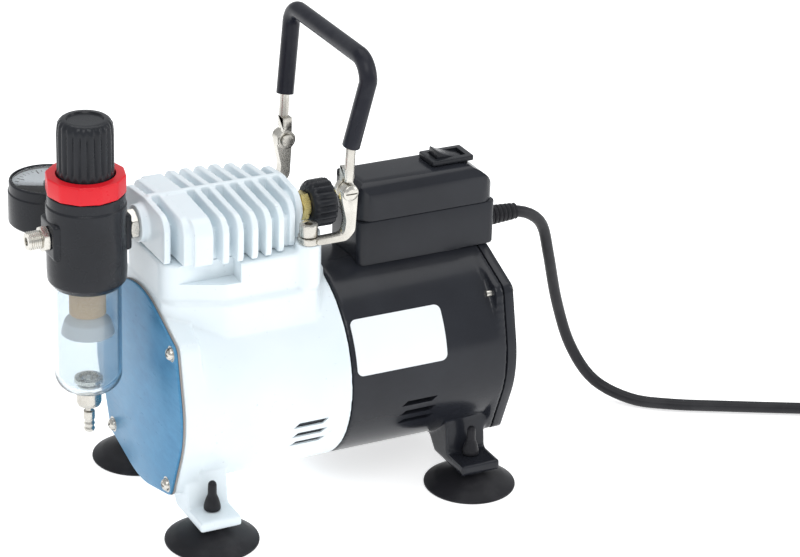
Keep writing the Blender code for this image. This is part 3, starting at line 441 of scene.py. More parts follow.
def turned(name, profile, centre, axis="z", segments=96):
    """Turns a closed outline of (radius, height) points about an axis through centre."""
    bm = bmesh.new()
    rings = []
    phase = (PHASE_SCALE * max(radius for radius, _ in profile)) % 1.0
    for radius, height in profile:
        if radius < 1e-7:
            rings.append([bm.verts.new((0, 0, height))])
            continue
        ring = []
        for k in range(segments):
            a = 2 * math.pi * (k + phase) / segments
            ring.append(bm.verts.new((radius * math.cos(a), radius * math.sin(a), height)))
        rings.append(ring)
    for low, high in zip(rings, rings[1:] + rings[:1]):
        if len(low) == 1 and len(high) == 1:
            continue
        for k in range(segments):
            n = (k + 1) % segments
            corners = [low[k % len(low)], low[n % len(low)], high[n % len(high)], high[k % len(high)]]
            bm.faces.new(list(dict.fromkeys(corners)))
    bmesh.ops.transform(bm, matrix=AXES[axis], verts=bm.verts)
    obj = from_bmesh(name, bm)
    obj.location = centre
    return obj


def rod(name, radius, low, high, centre, axis="z", segments=20):
    """Solid cylinder from low to high along an axis."""
    outline = [(0, low), (radius, low), (radius, high), (0, high)]
    return turned(name, outline, centre, axis, segments)


def tube(name, inner, outer, low, high, centre, axis="z", segments=24):
    """Cylinder with a bore."""
    outline = [(inner, low), (outer, low), (outer, high), (inner, high)]
    return turned(name, outline, centre, axis, segments)


def prism(name, outline, low, high, centre, axis="z"):
    """Extrudes a closed outline of (u, v) points from low to high along an axis."""
    bm = bmesh.new()
    bottom = [bm.verts.new((u, v, low)) for u, v in outline]
    top = [bm.verts.new((u, v, high)) for u, v in outline]
    bm.faces.new(list(reversed(bottom)))
    bm.faces.new(top)
    for k in range(len(outline)):
        n = (k + 1) % len(outline)
        bm.faces.new((bottom[k], bottom[n], top[n], top[k]))
    bmesh.ops.transform(bm, matrix=AXES[axis], verts=bm.verts)
    obj = from_bmesh(name, bm)
    obj.location = centre
    return obj


def block(name, low, high, bevel=0.0, segments=2):
    """Box between two corners, with rounded edges if asked."""
    low, high = Vector(low), Vector(high)
    bm = bmesh.new()
    bmesh.ops.create_cube(bm, size=1.0)
    bmesh.ops.scale(bm, vec=high - low, verts=bm.verts)
    bmesh.ops.translate(bm, vec=(low + high) / 2, verts=bm.verts)
    if bevel:
        bmesh.ops.bevel(bm, geom=bm.edges, offset=bevel, segments=segments, affect="EDGES", profile=0.5)
    return from_bmesh(name, bm)


def rounded_outline(half_u, half_v, radius, steps=5):
    """Rectangle with round corners, as a list of points."""
    points = []
    for corner in range(4):
        cu = (half_u - radius) * (1, -1, -1, 1)[corner]
        cv = (half_v - radius) * (1, 1, -1, -1)[corner]
        for k in range(steps + 1):
            a = math.pi / 2 * (corner + k / steps)
            points.append((cu + radius * math.cos(a), cv + radius * math.sin(a)))
    return points


def convex_outline(points):
    """Outline of the smallest convex shape around the points."""
    points = sorted(points)

    def half(source):
        chain = []
        for p in source:
            while len(chain) > 1:
                (ax, ay), (bx, by) = chain[-2], chain[-1]
                if (bx - ax) * (p[1] - ay) - (by - ay) * (p[0] - ax) > 1e-12:
                    break
                chain.pop()
            chain.append(p)
        return chain[:-1]

    return half(points) + half(points[::-1])


def circle_points(u, v, radius, count):
    """Points of a circle."""
    return [
        (u + radius * math.cos(2 * math.pi * k / count), v + radius * math.sin(2 * math.pi * k / count))
        for k in range(count)
    ]


def solve(obj, others, operation):
    """Applies Booleans with other solids, which are then removed."""
    for other in others:
        modifier = obj.modifiers.new("solid", "BOOLEAN")
        modifier.operation = operation
        modifier.solver = "EXACT"
        modifier.object = other
        bpy.context.view_layer.update()
        graph = bpy.context.evaluated_depsgraph_get()
        mesh = bpy.data.meshes.new_from_object(obj.evaluated_get(graph))
        obj.modifiers.clear()
        obj.data = mesh
        bpy.data.objects.remove(other, do_unlink=True)
    return obj


def join(obj, *others):
    """Adds solids to an object."""
    return solve(obj, others, "UNION")


def cut(obj, *others):
    """Takes solids out of an object."""
    return solve(obj, others, "DIFFERENCE")


# ---------------------------------------------------------------- shapes


def show(obj, look, body, *nodes, angle=40.0):
    """Gives a piece its look and body, and hides the CAD nodes it stands for."""
    obj.data.materials.clear()
    obj.data.materials.append(LOOK[look])
    if obj.type == "MESH":
        obj.data.shade_smooth()
        obj.data.set_sharp_from_angle(angle=math.radians(angle))
    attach(obj, body)
    if nodes:
        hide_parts(*nodes)
    return obj


def baked(obj):
    """Applies an object's modifiers."""
    bpy.context.view_layer.update()
    graph = bpy.context.evaluated_depsgraph_get()
    mesh = bpy.data.meshes.new_from_object(obj.evaluated_get(graph))
    obj.modifiers.clear()
    obj.data = mesh
    return obj


def bevelled(obj, width, segments=2, angle=35.0):
    """Rounds the sharp edges of an object."""
    modifier = obj.modifiers.new("bevel", "BEVEL")
    modifier.width = width
    modifier.segments = segments
    modifier.limit_method = "ANGLE"
    modifier.angle_limit = math.radians(angle)
    modifier.use_clamp_overlap = True
    return baked(obj)


def cast(obj, voxel, rounds, factor=0.5):
    """Soft corners of a casting, from a fine remesh and smoothing."""
    modifier = obj.modifiers.new("remesh", "REMESH")
    modifier.mode = "VOXEL"
    modifier.voxel_size = voxel
    modifier = obj.modifiers.new("smooth", "SMOOTH")
    modifier.factor = factor
    modifier.iterations = rounds
    return baked(obj)


def merged(name, objects):
    """Several solids as one mesh."""
    bpy.context.view_layer.update()
    bm = bmesh.new()
    for obj in objects:
        mesh = obj.data.copy()
        mesh.transform(obj.matrix_world)
        bm.from_mesh(mesh)
        bpy.data.objects.remove(obj, do_unlink=True)
    mesh = bpy.data.meshes.new(name)
    bm.to_mesh(mesh)
    bm.free()
    obj = bpy.data.objects.new(name, mesh)
    bpy.context.scene.collection.objects.link(obj)
    return obj


def softened(points, size, steps=3, closed=True):
    """Rounds the corners of an outline; points on the axis of a turned outline stay as they are."""
    out = []
    count = len(points)
    for k, p in enumerate(points):
        if p[0] < 1e-7 and not closed:
            out.append(p)
            continue
        a, b, c = Vector(points[k - 1]), Vector(p), Vector(points[(k + 1) % count])
        before, after = a - b, c - b
        if before.length < 1e-7 or after.length < 1e-7:
            out.append(p)
            continue
        first = b + before.normalized() * min(size, before.length * 0.45)
        last = b + after.normalized() * min(size, after.length * 0.45)
        for j in range(steps + 1):
            t = j / steps
            q = (1 - t) ** 2 * first + 2 * t * (1 - t) * b + t * t * last
            out.append((q.x, q.y))
    return out


def lathe(name, outline, centre, axis="z", soft=0.0003, segments=96):
    """Turned piece with its corners rounded."""
    return turned(name, softened(outline, soft, 3, closed=False), centre, axis, segments)


def hexagon(across, corner=0.0004):
    """Six-sided outline, measured across its flats, with slightly round corners."""
    points = []
    for k in range(6):
        a = math.radians(60 * k + 30)
        points.append((across / 2 / math.cos(math.radians(30)) * math.cos(a),
                       across / 2 / math.cos(math.radians(30)) * math.sin(a)))
    return softened(points, corner, 2)


def nut(name, across, low, high, centre, axis="x"):
    """Hexagon with chamfered corners."""
    piece = prism(name, hexagon(across), low, high, centre, axis)
    edge = across / 2 / math.cos(math.radians(30))
    slope = (edge - across / 2) * 0.8
    cone = [(0, low - 0.001), (across / 2 - 0.0002, low - 0.0001), (across / 2 - 0.0002, low),
            (edge + 0.0002, low + slope), (edge + 0.0002, high - slope), (across / 2 - 0.0002, high),
            (across / 2 - 0.0002, high + 0.0001), (0, high + 0.001)]
    solve(piece, [turned("cone", cone, centre, axis, 64)], "INTERSECT")
    return piece


def thread_outline(radius, low, high, pitch=0.0010, depth=0.0004):
    """Outline points of a screw thread, drawn as close rings."""
    points = []
    count = max(1, int((high - low) / pitch))
    step = (high - low) / count
    for k in range(count):
        points += [(radius - depth, low + step * k), (radius, low + step * (k + 0.35)),
                   (radius, low + step * (k + 0.65))]
    points.append((radius - depth, high))
    return points


def fluted(name, levels, flutes, centre, steps=6):
    """Turned piece whose side waves in and out: levels are (radius, height, depth of the flutes)."""
    count = flutes * steps
    bm = bmesh.new()
    rings = []
    for radius, height, depth in levels:
        if radius < 1e-7:
            rings.append([bm.verts.new((0, 0, height))])
            continue
        ring = []
        for k in range(count):
            a = 2 * math.pi * k / count
            r = radius - depth * (0.5 - 0.5 * math.cos(flutes * a)) ** 2
            ring.append(bm.verts.new((r * math.cos(a), r * math.sin(a), height)))
        rings.append(ring)
    for low, high in zip(rings, rings[1:]):
        if len(low) == 1 and len(high) == 1:
            continue
        for k in range(count):
            n = (k + 1) % count
            corners = [low[k % len(low)], low[n % len(low)], high[n % len(high)], high[k % len(high)]]
            bm.faces.new(list(dict.fromkeys(corners)))
    obj = from_bmesh(name, bm)
    obj.location = centre
    return obj


def swept(name, points, radius, resolution=6):
    """Round bar along a line of points."""
    curve = bpy.data.curves.new(name, "CURVE")
    curve.dimensions = "3D"
    curve.bevel_depth = radius
    curve.bevel_resolution = resolution
    curve.use_fill_caps = True
    spline = curve.splines.new("POLY")
    spline.points.add(len(points) - 1)
    for target, point in zip(spline.points, points):
        target.co = (*point, 1.0)
    obj = bpy.data.objects.new(name, curve)
    bpy.context.scene.collection.objects.link(obj)
    bpy.context.view_layer.update()
    graph = bpy.context.evaluated_depsgraph_get()
    mesh = bpy.data.meshes.new_from_object(obj.evaluated_get(graph))
    bpy.data.objects.remove(obj, do_unlink=True)
    bm = bmesh.new()
    bm.from_mesh(mesh)
    bmesh.ops.remove_doubles(bm, verts=bm.verts, dist=1e-6)
    return from_bmesh(name, bm)


# ---------------------------------------------------------------- mains lead

CORD_ROUTE = [
    (0.1280, 0.0000, 0.1330), (0.1410, 0.0000, 0.1332), (0.1530, 0.0004, 0.1326), (0.1640, 0.0014, 0.1282),
    (0.1733, 0.0042, 0.1185), (0.1810, 0.0090, 0.0980), (0.1930, 0.0170, 0.0630), (0.2050, 0.0190, 0.0320),
    (0.2170, 0.0110, 0.0115), (0.2320, -0.0060, 0.0040), (0.2500, -0.0210, 0.0037), (0.2780, -0.0362, 0.0037),
    (0.3180, -0.0566, 0.0037), (0.3300, -0.0627, 0.0037),
]
INTO_COIL = [(0.3420, -0.0688, 0.0036), (0.3540, -0.0749, 0.0035)]
COIL_CENTRE = (0.3877, -0.0410, 0.0)
COIL_R = 0.0390                  # from the middle of the coil to the middle of its turns
PLUG_PLACE = (0.4337, 0.0240, 0.0002)
PLUG_TURN = 90.0


def smooth_route(points, spacing):
    """Evenly spaced points on a smooth curve through the route's points."""
    p = [np.array(q, float) for q in points]
    p = [2 * p[0] - p[1]] + p + [2 * p[-1] - p[-2]]
    fine = []
    for a, b, c, d in zip(p, p[1:], p[2:], p[3:]):
        for t in np.linspace(0, 1, 24, endpoint=False):
            fine.append(0.5 * (2 * b + (c - a) * t + (2 * a - 5 * b + 4 * c - d) * t * t
                               + (3 * b - a - 3 * c + d) * t ** 3))
    fine = np.array(fine + [p[-2]])
    run = np.r_[0, np.cumsum(np.linalg.norm(np.diff(fine, axis=0), axis=1))]
    marks = np.linspace(0, run[-1], max(2, round(run[-1] / spacing)) + 1)
    return np.stack([np.interp(marks, run, fine[:, k]) for k in range(3)], axis=1)


def coil_points():
    """Points of the wound part: a lower layer spiralling in, an upper layer spiralling out to the plug."""
    pitch = 0.0066
    floor_z, top_z = 0.0035, 0.0104
    start = math.radians(-117.0)
    lower_turns, upper_turns = 2.0, 2.075
    lift = 0.25
    points = []
    outer = 0.0455
    steps = 26
    count = int(steps * lower_turns)
    for k in range(count + 1):
        t = lower_turns * k / count
        points.append((outer - pitch * t, start + 2 * math.pi * t, floor_z))
    last = points[-1][1]
    for k in range(1, int(steps * lift) + 1):
        t = k / (steps * lift)
        ease = t * t * (3 - 2 * t)
        points.append((points[-1][0], last + 2 * math.pi * lift * t, floor_z + (top_z - floor_z) * ease))
    base, last = points[-1][0], points[-1][1]
    count = int(steps * upper_turns)
    for k in range(1, count + 1):
        t = upper_turns * k / count
        points.append((base + pitch * t, last + 2 * math.pi * t, top_z))
    return [(COIL_CENTRE[0] + r * math.cos(a), COIL_CENTRE[1] + r * math.sin(a), z) for r, a, z in points]


def make_cord():
    """Mains lead: one length from the gland, down to the floor, round the coil and into the plug."""
    plug_back = Vector((-0.017, 0.0, 0.011))
    plug_back.rotate(Matrix.Rotation(math.radians(PLUG_TURN), 3, "Z"))
    plug_back += Vector(PLUG_PLACE)
    along = Matrix.Rotation(math.radians(PLUG_TURN), 3, "Z") @ Vector((1, 0, 0))
    wound = coil_points()
    tail = [tuple(plug_back - back * along) for back in (0.036, 0.024, 0.012, -0.003)]
    route = smooth_route(CORD_ROUTE + INTO_COIL + wound + tail, 0.0045)
    curve = bpy.data.curves.new("mains_lead", "CURVE")
    curve.dimensions = "3D"
    curve.bevel_depth = CORD_R
    curve.bevel_resolution = 6
    curve.use_fill_caps = True
    spline = curve.splines.new("POLY")
    spline.points.add(len(route) - 1)
    for target, point in zip(spline.points, route):
        target.co = (*point, 1.0)
    lead = bpy.data.objects.new("mains_lead", curve)
    bpy.context.scene.collection.objects.link(lead)
    curve.materials.append(LOOK["cord"])
    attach(lead, "machine")
    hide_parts("power_cord", "cord_coil")


# ---------------------------------------------------------------- castings and covers

def on_axis(x):
    """Point of the motor shaft."""
    return (x, 0.0, AXIS_Z)


def screw_points():
    """Places of the four cover screws, across and above the shaft."""
    return [(s * u, v) for u, v in (UPPER_SCREW, LOWER_SCREW) for s in (1, -1)]


def cover_outline(steps=128, grow=0.0):
    """Round cover with a boss for each screw."""
    points = circle_points(0, 0, BODY_R + grow, steps)
    for u, v in screw_points():
        points += circle_points(u, v, SCREW_BOSS_R + grow, 40)
    return convex_outline(points)


def screw_holes(low, high, radius):
    """Cutters for the four cover screws."""
    return [rod("hole", radius, low, high, (0, u, AXIS_Z + v), axis="x", segments=24)
            for u, v in screw_points()]


def leg(x, side):
    """Leg from the barrel down to a foot pad, as a slice of the machine."""
    outline = [(0.0635, PAD_LOW), (0.0635, PAD_TOP), (0.0462, PAD_TOP), (0.0430, 0.0400),
               (0.030, 0.040), (0.018, 0.0260), (0.030, PAD_LOW)]
    outline = [(side * u, v) for u, v in outline]
    return prism("leg", outline, x - 0.0115, x + 0.0115, (0, 0, 0), axis="x")


def side_slots(x0, x1):
    """Cutters for three cooling slots with slanted ends, low on the label side."""
    cutters = []
    for degrees in (14, 21, 28):
        a = math.radians(degrees)
        slant = 0.0016
        plan = [(-0.0016, x0 - slant), (0.0016, x0 + slant), (0.0016, x1 + slant), (-0.0016, x1 - slant)]
        slot = prism("slot", plan, -0.010, 0.010, (0, 0, 0), axis="y")
        slot.rotation_euler = (a, 0, 0)
        slot.location = (0, -BODY_R * math.cos(a), AXIS_Z - BODY_R * math.sin(a))
        cutters.append(slot)
    return cutters


def make_crankcase():
    """White casting with the cylinder saddle, lugs, front legs and cooling slots."""
    case = rod("casing", BODY_R, FRONT_X, SEAM_X, on_axis(0), axis="x", segments=128)
    flange = prism("flange", cover_outline(), FRONT_X, -0.055, on_axis(0), axis="x")
    corners = ((-0.0550, 0.018, 0.012), (-0.0350, 0.027, 0.012), (0.0080, 0.030, 0.009),
               (0.0180, 0.012, 0.0095))
    plan = []
    for x, y, radius in corners:
        plan += circle_points(x, y, radius, 48) + circle_points(x, -y, radius, 48)
    plan = convex_outline(plan)
    saddle = prism("saddle", plan, 0.0900, SADDLE_TOP, (0, 0, 0))
    wider = [(x * 1.03 + 0.0008, y * 1.06) for x, y in plan]
    skirt = prism("skirt", wider, 0.0900, 0.1290, (0, 0, 0))
    lugs = [rod("lug", 0.0068, 0.1300, LUG_TOP, (BOLT_X, s * BOLT_Y, 0), segments=48) for s in (1, -1)]
    legs = [leg(FOOT_X[0], s) for s in (1, -1)]
    join(case, flange, saddle, skirt, *lugs, *legs)
    cast(case, voxel=0.0009, rounds=9)
    rooms = [rod("cutter", BODY_R - CASE_WALL, FRONT_X - 0.01, -0.011, on_axis(0), axis="x", segments=96),
             rod("cutter", BODY_R - CASE_WALL, -0.004, SEAM_X + 0.01, on_axis(0), axis="x", segments=96)]
    face = block("cutter", (FRONT_X - 0.02, -0.09, 0.0), (FRONT_X, 0.09, 0.16))
    back = block("cutter", (SEAM_X, -0.09, 0.0), (SEAM_X + 0.02, 0.09, 0.1480))
    windows = [block("cutter", (-0.0640, min(s * 0.029, s * 0.05), 0.1395),
                     (-0.0290, max(s * 0.029, s * 0.05), SADDLE_TOP + 0.002)) for s in (1, -1)]
    pads = [rod("cutter", PAD_HOLE_R, PAD_LOW - 0.002, PAD_TOP + 0.002, (FOOT_X[0], s * FOOT_Y, 0), segments=24)
            for s in (1, -1)]
    bolts = [rod("cutter", BOLT_HOLE_R, 0.1455, LUG_TOP + 0.01, (BOLT_X, s * BOLT_Y, 0),
                 segments=24) for s in (1, -1)]
    cut(case, merged("cutters", [*rooms, *windows, *pads, *bolts, *side_slots(-0.0035, 0.0135),
                                 *screw_holes(FRONT_X + 0.0005, -0.060, SCREW_R + GAP)]))
    cut(case, face, back)
    cut(case, rod("cutter", LINER_R + GAP, 0.100, 0.160, (BORE_X, 0, 0), segments=64))
    cut(case, rod("cutter", BEARING_SEAT_R, -0.012, -0.003, on_axis(0), axis="x", segments=48))
    show(case, "white", "machine", "crankcase", angle=30)
    # Painted shade: a black sheet inside the wall, seen only through the cooling slots, so that they read dark.
    slot_shadow_sheet = tube("painted_slot_shadow", BODY_R - 0.0030, BODY_R - 0.0010, -0.0058, 0.0158,
                  on_axis(0), "x", segments=96)
    show(slot_shadow_sheet, "black", "machine")


def make_front_cover():
    """Blue front plate on its gasket, with the screws of both covers."""
    back = FRONT_X - GAP
    gasket = prism("cover_gasket", cover_outline(), back - 0.0008, back, on_axis(0), axis="x")
    show(gasket, "gasket", "machine")
    plate = prism("cover_plate", cover_outline(grow=-0.0003), back - PLATE_T, back - 0.0008, on_axis(0),
                  axis="x")
    bevelled(plate, width=0.0004)
    show(plate, "blue", "machine", "front_plate")
    make_screws("plate_screw", "front_plate_screw", back - PLATE_T - GAP * 0.3, -1, -0.0605)
    make_screws("cover_screw", "rear_cover_screw", 0.1260 + GAP * 0.3, 1, 0.1125)


def make_screws(name, node, head, facing, tip):
    """Pan-head screws with crossed recesses, each over a washer."""
    dome = [(0.0, 0.0027), (0.0012, 0.00265), (0.0024, 0.0021), (0.0032, 0.0011), (0.0034, 0.0003),
            (0.0034, 0.0)]
    outline = [(r, head + facing * h) for r, h in dome]
    outline += [(0.0043, head), (0.0043, head - facing * 0.0002), (SCREW_R, head - facing * 0.0002)]
    outline += [(SCREW_R, tip), (0.0, tip)]
    for number, (u, v) in enumerate(screw_points(), 1):
        centre = (0, u, AXIS_Z + v)
        piece = lathe(f"{name}_{number}", outline, centre, "x", soft=0.00025, segments=48)
        ends = sorted((head + facing * 0.0040, head + facing * 0.0012))
        for turn in (25 + 37 * number, 115 + 37 * number):
            recess = block("recess", (ends[0], -0.0018, -0.00035), (ends[1], 0.0018, 0.00035))
            recess.location = centre
            recess.rotation_euler = (math.radians(turn), 0, 0)
            cut(piece, recess)
        show(piece, "steel", "machine", f"{node}_{number}", angle=30)


def make_motor_housing():
    """Black barrel with the rear legs and cooling slots."""
    start = SEAM_X + GAP
    housing = rod("motor_barrel", BODY_R, start, HOUSING_END_X, on_axis(0), axis="x", segments=128)
    flange = prism("flange", cover_outline(), 0.1155, HOUSING_END_X, on_axis(0), axis="x")
    join(housing, flange, *[leg(FOOT_X[1], s) for s in (1, -1)])
    cast(housing, voxel=0.0010, rounds=6)
    room = rod("cutter", BODY_R - CASE_WALL, start - 0.01, HOUSING_END_X + 0.01, on_axis(0), axis="x",
               segments=96)
    ends = [block("cutter", (start - 0.02, -0.09, 0.0), (start, 0.09, 0.16)),
            block("cutter", (HOUSING_END_X, -0.09, 0.0), (HOUSING_END_X + 0.02, 0.09, 0.16))]
    pads = [rod("cutter", PAD_HOLE_R, PAD_LOW - 0.002, PAD_TOP + 0.002, (FOOT_X[1], s * FOOT_Y, 0), segments=24)
            for s in (1, -1)]
    cut(housing, room)
    cut(housing, merged("cutters", [*ends, *pads, *side_slots(0.060, 0.078)]))
    cut(housing, merged("cutters", screw_holes(0.1160, HOUSING_END_X - 0.0005, SCREW_R + GAP)))
    show(housing, "black", "machine", "motor_housing", angle=30)


def vent_outline():
    """Long opening with a round outer end and a pointed inner end."""
    inner, outer = 0.0235, 0.0435
    narrow, wide = 0.0016, 0.0036
    points = [(inner, -narrow)]
    for k in range(13):
        a = math.pi * (k / 12 - 0.5)
        points.append((outer + wide * math.cos(a), wide * math.sin(a)))
    points.append((inner, narrow))
    points.append((inner - 0.0008, 0.0))
    return points


def make_rear_cover():
    """Fan cover with a ring of radial vents round a plain hub."""
    start = HOUSING_END_X + GAP
    cover = prism("fan_cover", cover_outline(), start, 0.1260, on_axis(0), axis="x")
    dish = lathe("dish", [(0, 0.125), (0.0500, 0.125), (0.0500, 0.1278), (0.0485, REAR_X),
                          (0.0465, REAR_X), (0.0455, 0.1282), (0.0225, 0.1282), (0.0215, REAR_X),
                          (0.0195, REAR_X), (0.0185, 0.1284), (0, 0.1284)], on_axis(0), "x", soft=0.0003,
                 segments=128)
    join(cover, dish)
    cut(cover, rod("cutter", 0.0475, start - 0.001, 0.1255, on_axis(0), axis="x", segments=96))
    join(cover, rod("boss", 0.0150, 0.1125, 0.126, on_axis(0), axis="x", segments=48))
    cut(cover, rod("cutter", BEARING_SEAT_R, 0.112, 0.1190, on_axis(0), axis="x", segments=48))
    vents = []
    for k in range(20):
        vent = prism("vent", vent_outline(), 0.1240, REAR_X + 0.001, on_axis(0), axis="x")
        vent.rotation_euler = (math.radians(18 * (k + 0.5)), 0, 0)
        vents.append(vent)
    cut(cover, merged("cutters", [*vents, *screw_holes(start - 0.01, REAR_X + 0.01, SCREW_R + GAP)]))
    bevelled(cover, width=0.00035)
    show(cover, "black", "machine", "rear_cover", angle=35)


def fin_half(x):
    """Half the width of the head at a place along it."""
    u = abs(x - FIN_MID_X) / FIN_SPAN
    return FIN_HALF * (1 - u ** FIN_SQUARENESS) ** (1 / FIN_SQUARENESS)


def fin_outline(half):
    """Front view of a fin with round shoulders."""
    shoulder = HEAD_TOP - 0.0025 * half / FIN_HALF
    base = SADDLE_TOP + 0.0010
    points = [(-half + 0.001, base), (half - 0.001, base), (half, base + 0.003)]
    for k in range(11):
        a = math.pi / 2 * k / 10
        points.append((half - FIN_ROUND * (1 - math.cos(a)), shoulder - FIN_ROUND * (1 - math.sin(a))))
    points.append((0.0, HEAD_TOP))
    left = [(-u, v) for u, v in points[2:-1]]
    return points + left[::-1]


def make_head():
    """Finned cylinder head with its ports."""
    low = SADDLE_TOP + GAP
    head = block("finned_head", (-0.0560, -0.0290, low), (0.0022, 0.0290, 0.1672))
    ends = block("ends", (-0.0640, -0.0170, low + 0.0014), (0.0100, 0.0170, 0.1680))
    fins = []
    for k, x in enumerate(FIN_X):
        half_t = (WIDE_FIN_T if k == WIDE_FIN else FIN_T) / 2
        fins.append(prism("fin", fin_outline(fin_half(x)), x - half_t, x + half_t, (0, 0, 0), axis="x"))
    ridge = block("ridge", (FIN_X[0] + 0.0004, -0.0016, 0.1655), (FIN_X[-1] - 0.0003, 0.0016, 0.1788))
    in_boss = rod("boss", 0.0100, -0.0715, -0.060, (0, 0, PORT_Z), axis="x", segments=64)
    out_boss = rod("boss", 0.0090, 0.0050, 0.0140, (0, INTAKE_Y, PORT_Z), axis="x", segments=64)
    join(head, ends, *fins, ridge, in_boss, out_boss)
    cast(head, voxel=0.00055, rounds=6)
    step = LINER_TOP + 0.0032
    room = [(0, low - 0.01), (LINER_R + GAP, low - 0.01), (LINER_R + GAP, step), (0.0140, step),
            (0.0140, 0.1660), (0, 0.1660)]
    cut(head, turned("cutter", room, (BORE_X, 0, 0), "z", segments=64))
    ports = [rod("cutter", 0.0063, 0.0085, 0.02, (0, INTAKE_Y, PORT_Z), axis="x", segments=32),
             rod("cutter", PORT_R, -0.080, -0.0660, (0, 0, PORT_Z), axis="x", segments=32)]
    cut(head, merged("cutters", ports))
    show(head, "white", "machine", "cylinder_head", angle=60)


make_crankcase()
make_front_cover()
make_motor_housing()
make_rear_cover()
make_head()


# ---------------------------------------------------------------- intake, brackets and handle

def ribbed_ring(name, levels, ribs, centre):
    """Fluted piece lying along X."""
    piece = fluted(name, levels, ribs, centre)
    piece.data.transform(AXES["x"])
    return piece


def make_intake():
    """Brass nipple and ribbed filter cap on the rear port of the head."""
    place = (0, INTAKE_Y, PORT_Z)
    barrel = lathe("intake_pipe",
                   [(0.0030, 0.0095), (0.0060, 0.0095), *thread_outline(0.0060, 0.0100, 0.0145),
                    (0.0056, 0.0150), (0.0056, 0.0196), *thread_outline(0.0060, 0.0198, 0.0228),
                    (0.0030, 0.0230)], place, "x", soft=0.0001, segments=64)
    join(barrel, tube("flats", 0.0040, 0.0080, 0.0152, 0.0192, place, "x", segments=6))
    show(barrel, "brass", "machine", "intake_nipple", angle=35)
    body = ribbed_ring("intake_knob",
                       [(0, 0.0235, 0), (0.0063, 0.0235, 0), (0.0063, 0.0200, 0), (0.0098, 0.0200, 0),
                        (0.0108, 0.0204, 0.0002), (0.0120, 0.0215, 0.0008), (0.0126, 0.0232, 0.0012),
                        (0.0127, 0.0275, 0.0012), (0.0127, 0.0315, 0.0012), (0.0122, 0.0326, 0.0008),
                        (0.0112, 0.0330, 0.0), (0.0095, 0.0330, 0.0), (0.0090, 0.0322, 0.0),
                        (0, 0.0322, 0.0)], 18, place)
    show(body, "black_mould", "machine", "intake_filter", angle=50)


def make_brackets():
    """Cranked arms from the head lugs up to the handle pivots, and their bolts."""
    low = LUG_TOP + GAP
    for side, name in ((-1, "handle_bracket_right"), (1, "handle_bracket_left")):
        y = side * PIVOT[1]
        base = prism("bracket_base", rounded_outline(0.0050, 0.0062, 0.0048, 12), low, low + ARM_SHEET,
                     (BOLT_X, side * BOLT_Y, 0))
        cranked = [(BOLT_X + 0.002, low), (0.0290, low), (0.0335, low + 0.0045), (0.0345, PIVOT[2] - 0.004),
                   (0.0346, PIVOT[2] + 0.0010), (0.0325, PIVOT[2] + 0.0042), (0.0285, PIVOT[2] + 0.0046),
                   (0.0256, PIVOT[2] + 0.0015), (0.0258, PIVOT[2] - 0.004), (0.0285, low + 0.0110),
                   (0.0275, low + 0.0048), (0.0255, low + 0.0034), (BOLT_X + 0.002, low + ARM_SHEET)]
        outline = softened([(z, x) for x, z in cranked], 0.0020, 5)
        join(base, prism("arm", outline, y - ARM_HALF, y + ARM_HALF, (0, 0, 0), axis="y"))
        cut(base, rod("cutter", BOLT_HOLE_R, low - 0.01, low + 0.012, (BOLT_X, side * BOLT_Y, 0), segments=32),
            rod("cutter", PIN_R + GAP, y - 0.01, y + 0.01, (PIVOT[0], 0, PIVOT[2]), axis="y", segments=32))
        bevelled(base, width=0.0005, segments=2, angle=40)
        base.name = "arm_" + name[15:]
        show(base, "steel", "machine", name)
    top = low + ARM_SHEET + GAP
    for side, name in ((-1, "bracket_bolt_right"), (1, "bracket_bolt_left")):
        place = (BOLT_X, side * BOLT_Y, 0)
        outline = [(0, 0.1460), (0.0025, 0.1460), (0.0025, top), (0.0048, top), (0.0048, top + 0.0066),
                   (0, top + 0.0066)]
        bolt = lathe("cap_" + name[8:], outline, place, "z", soft=0.0004, segments=64)
        cut(bolt, prism("recess", hexagon(0.0042, 0.0001), top + 0.0036, top + 0.01, place))
        show(bolt, "steel", "machine", name)


def handle_route(steps=14):
    """Centre line of the steel frame from one pivot eye over the top to the other."""
    px, py, pz = PIVOT
    wide = py + HANDLE_SPREAD
    top = HANDLE_TOP - GRIP_R
    x_low = px + 0.0012
    x_top = px + HANDLE_LEAN
    round_r = 0.011
    route = [(px + 0.0004, -py, pz + 0.0055), (x_low, -py, GRIP_LOW)]
    for side in (-1, 1):
        arc = []
        for k in range(steps):
            a = math.pi / 2 * k / (steps - 1)
            arc.append((x_top, side * (wide - round_r + round_r * math.cos(a)),
                        top - round_r + round_r * math.sin(a)))
        route += arc if side < 0 else arc[::-1]
    route += [(x_low, py, GRIP_LOW), (px + 0.0004, py, pz + 0.0055)]
    return route


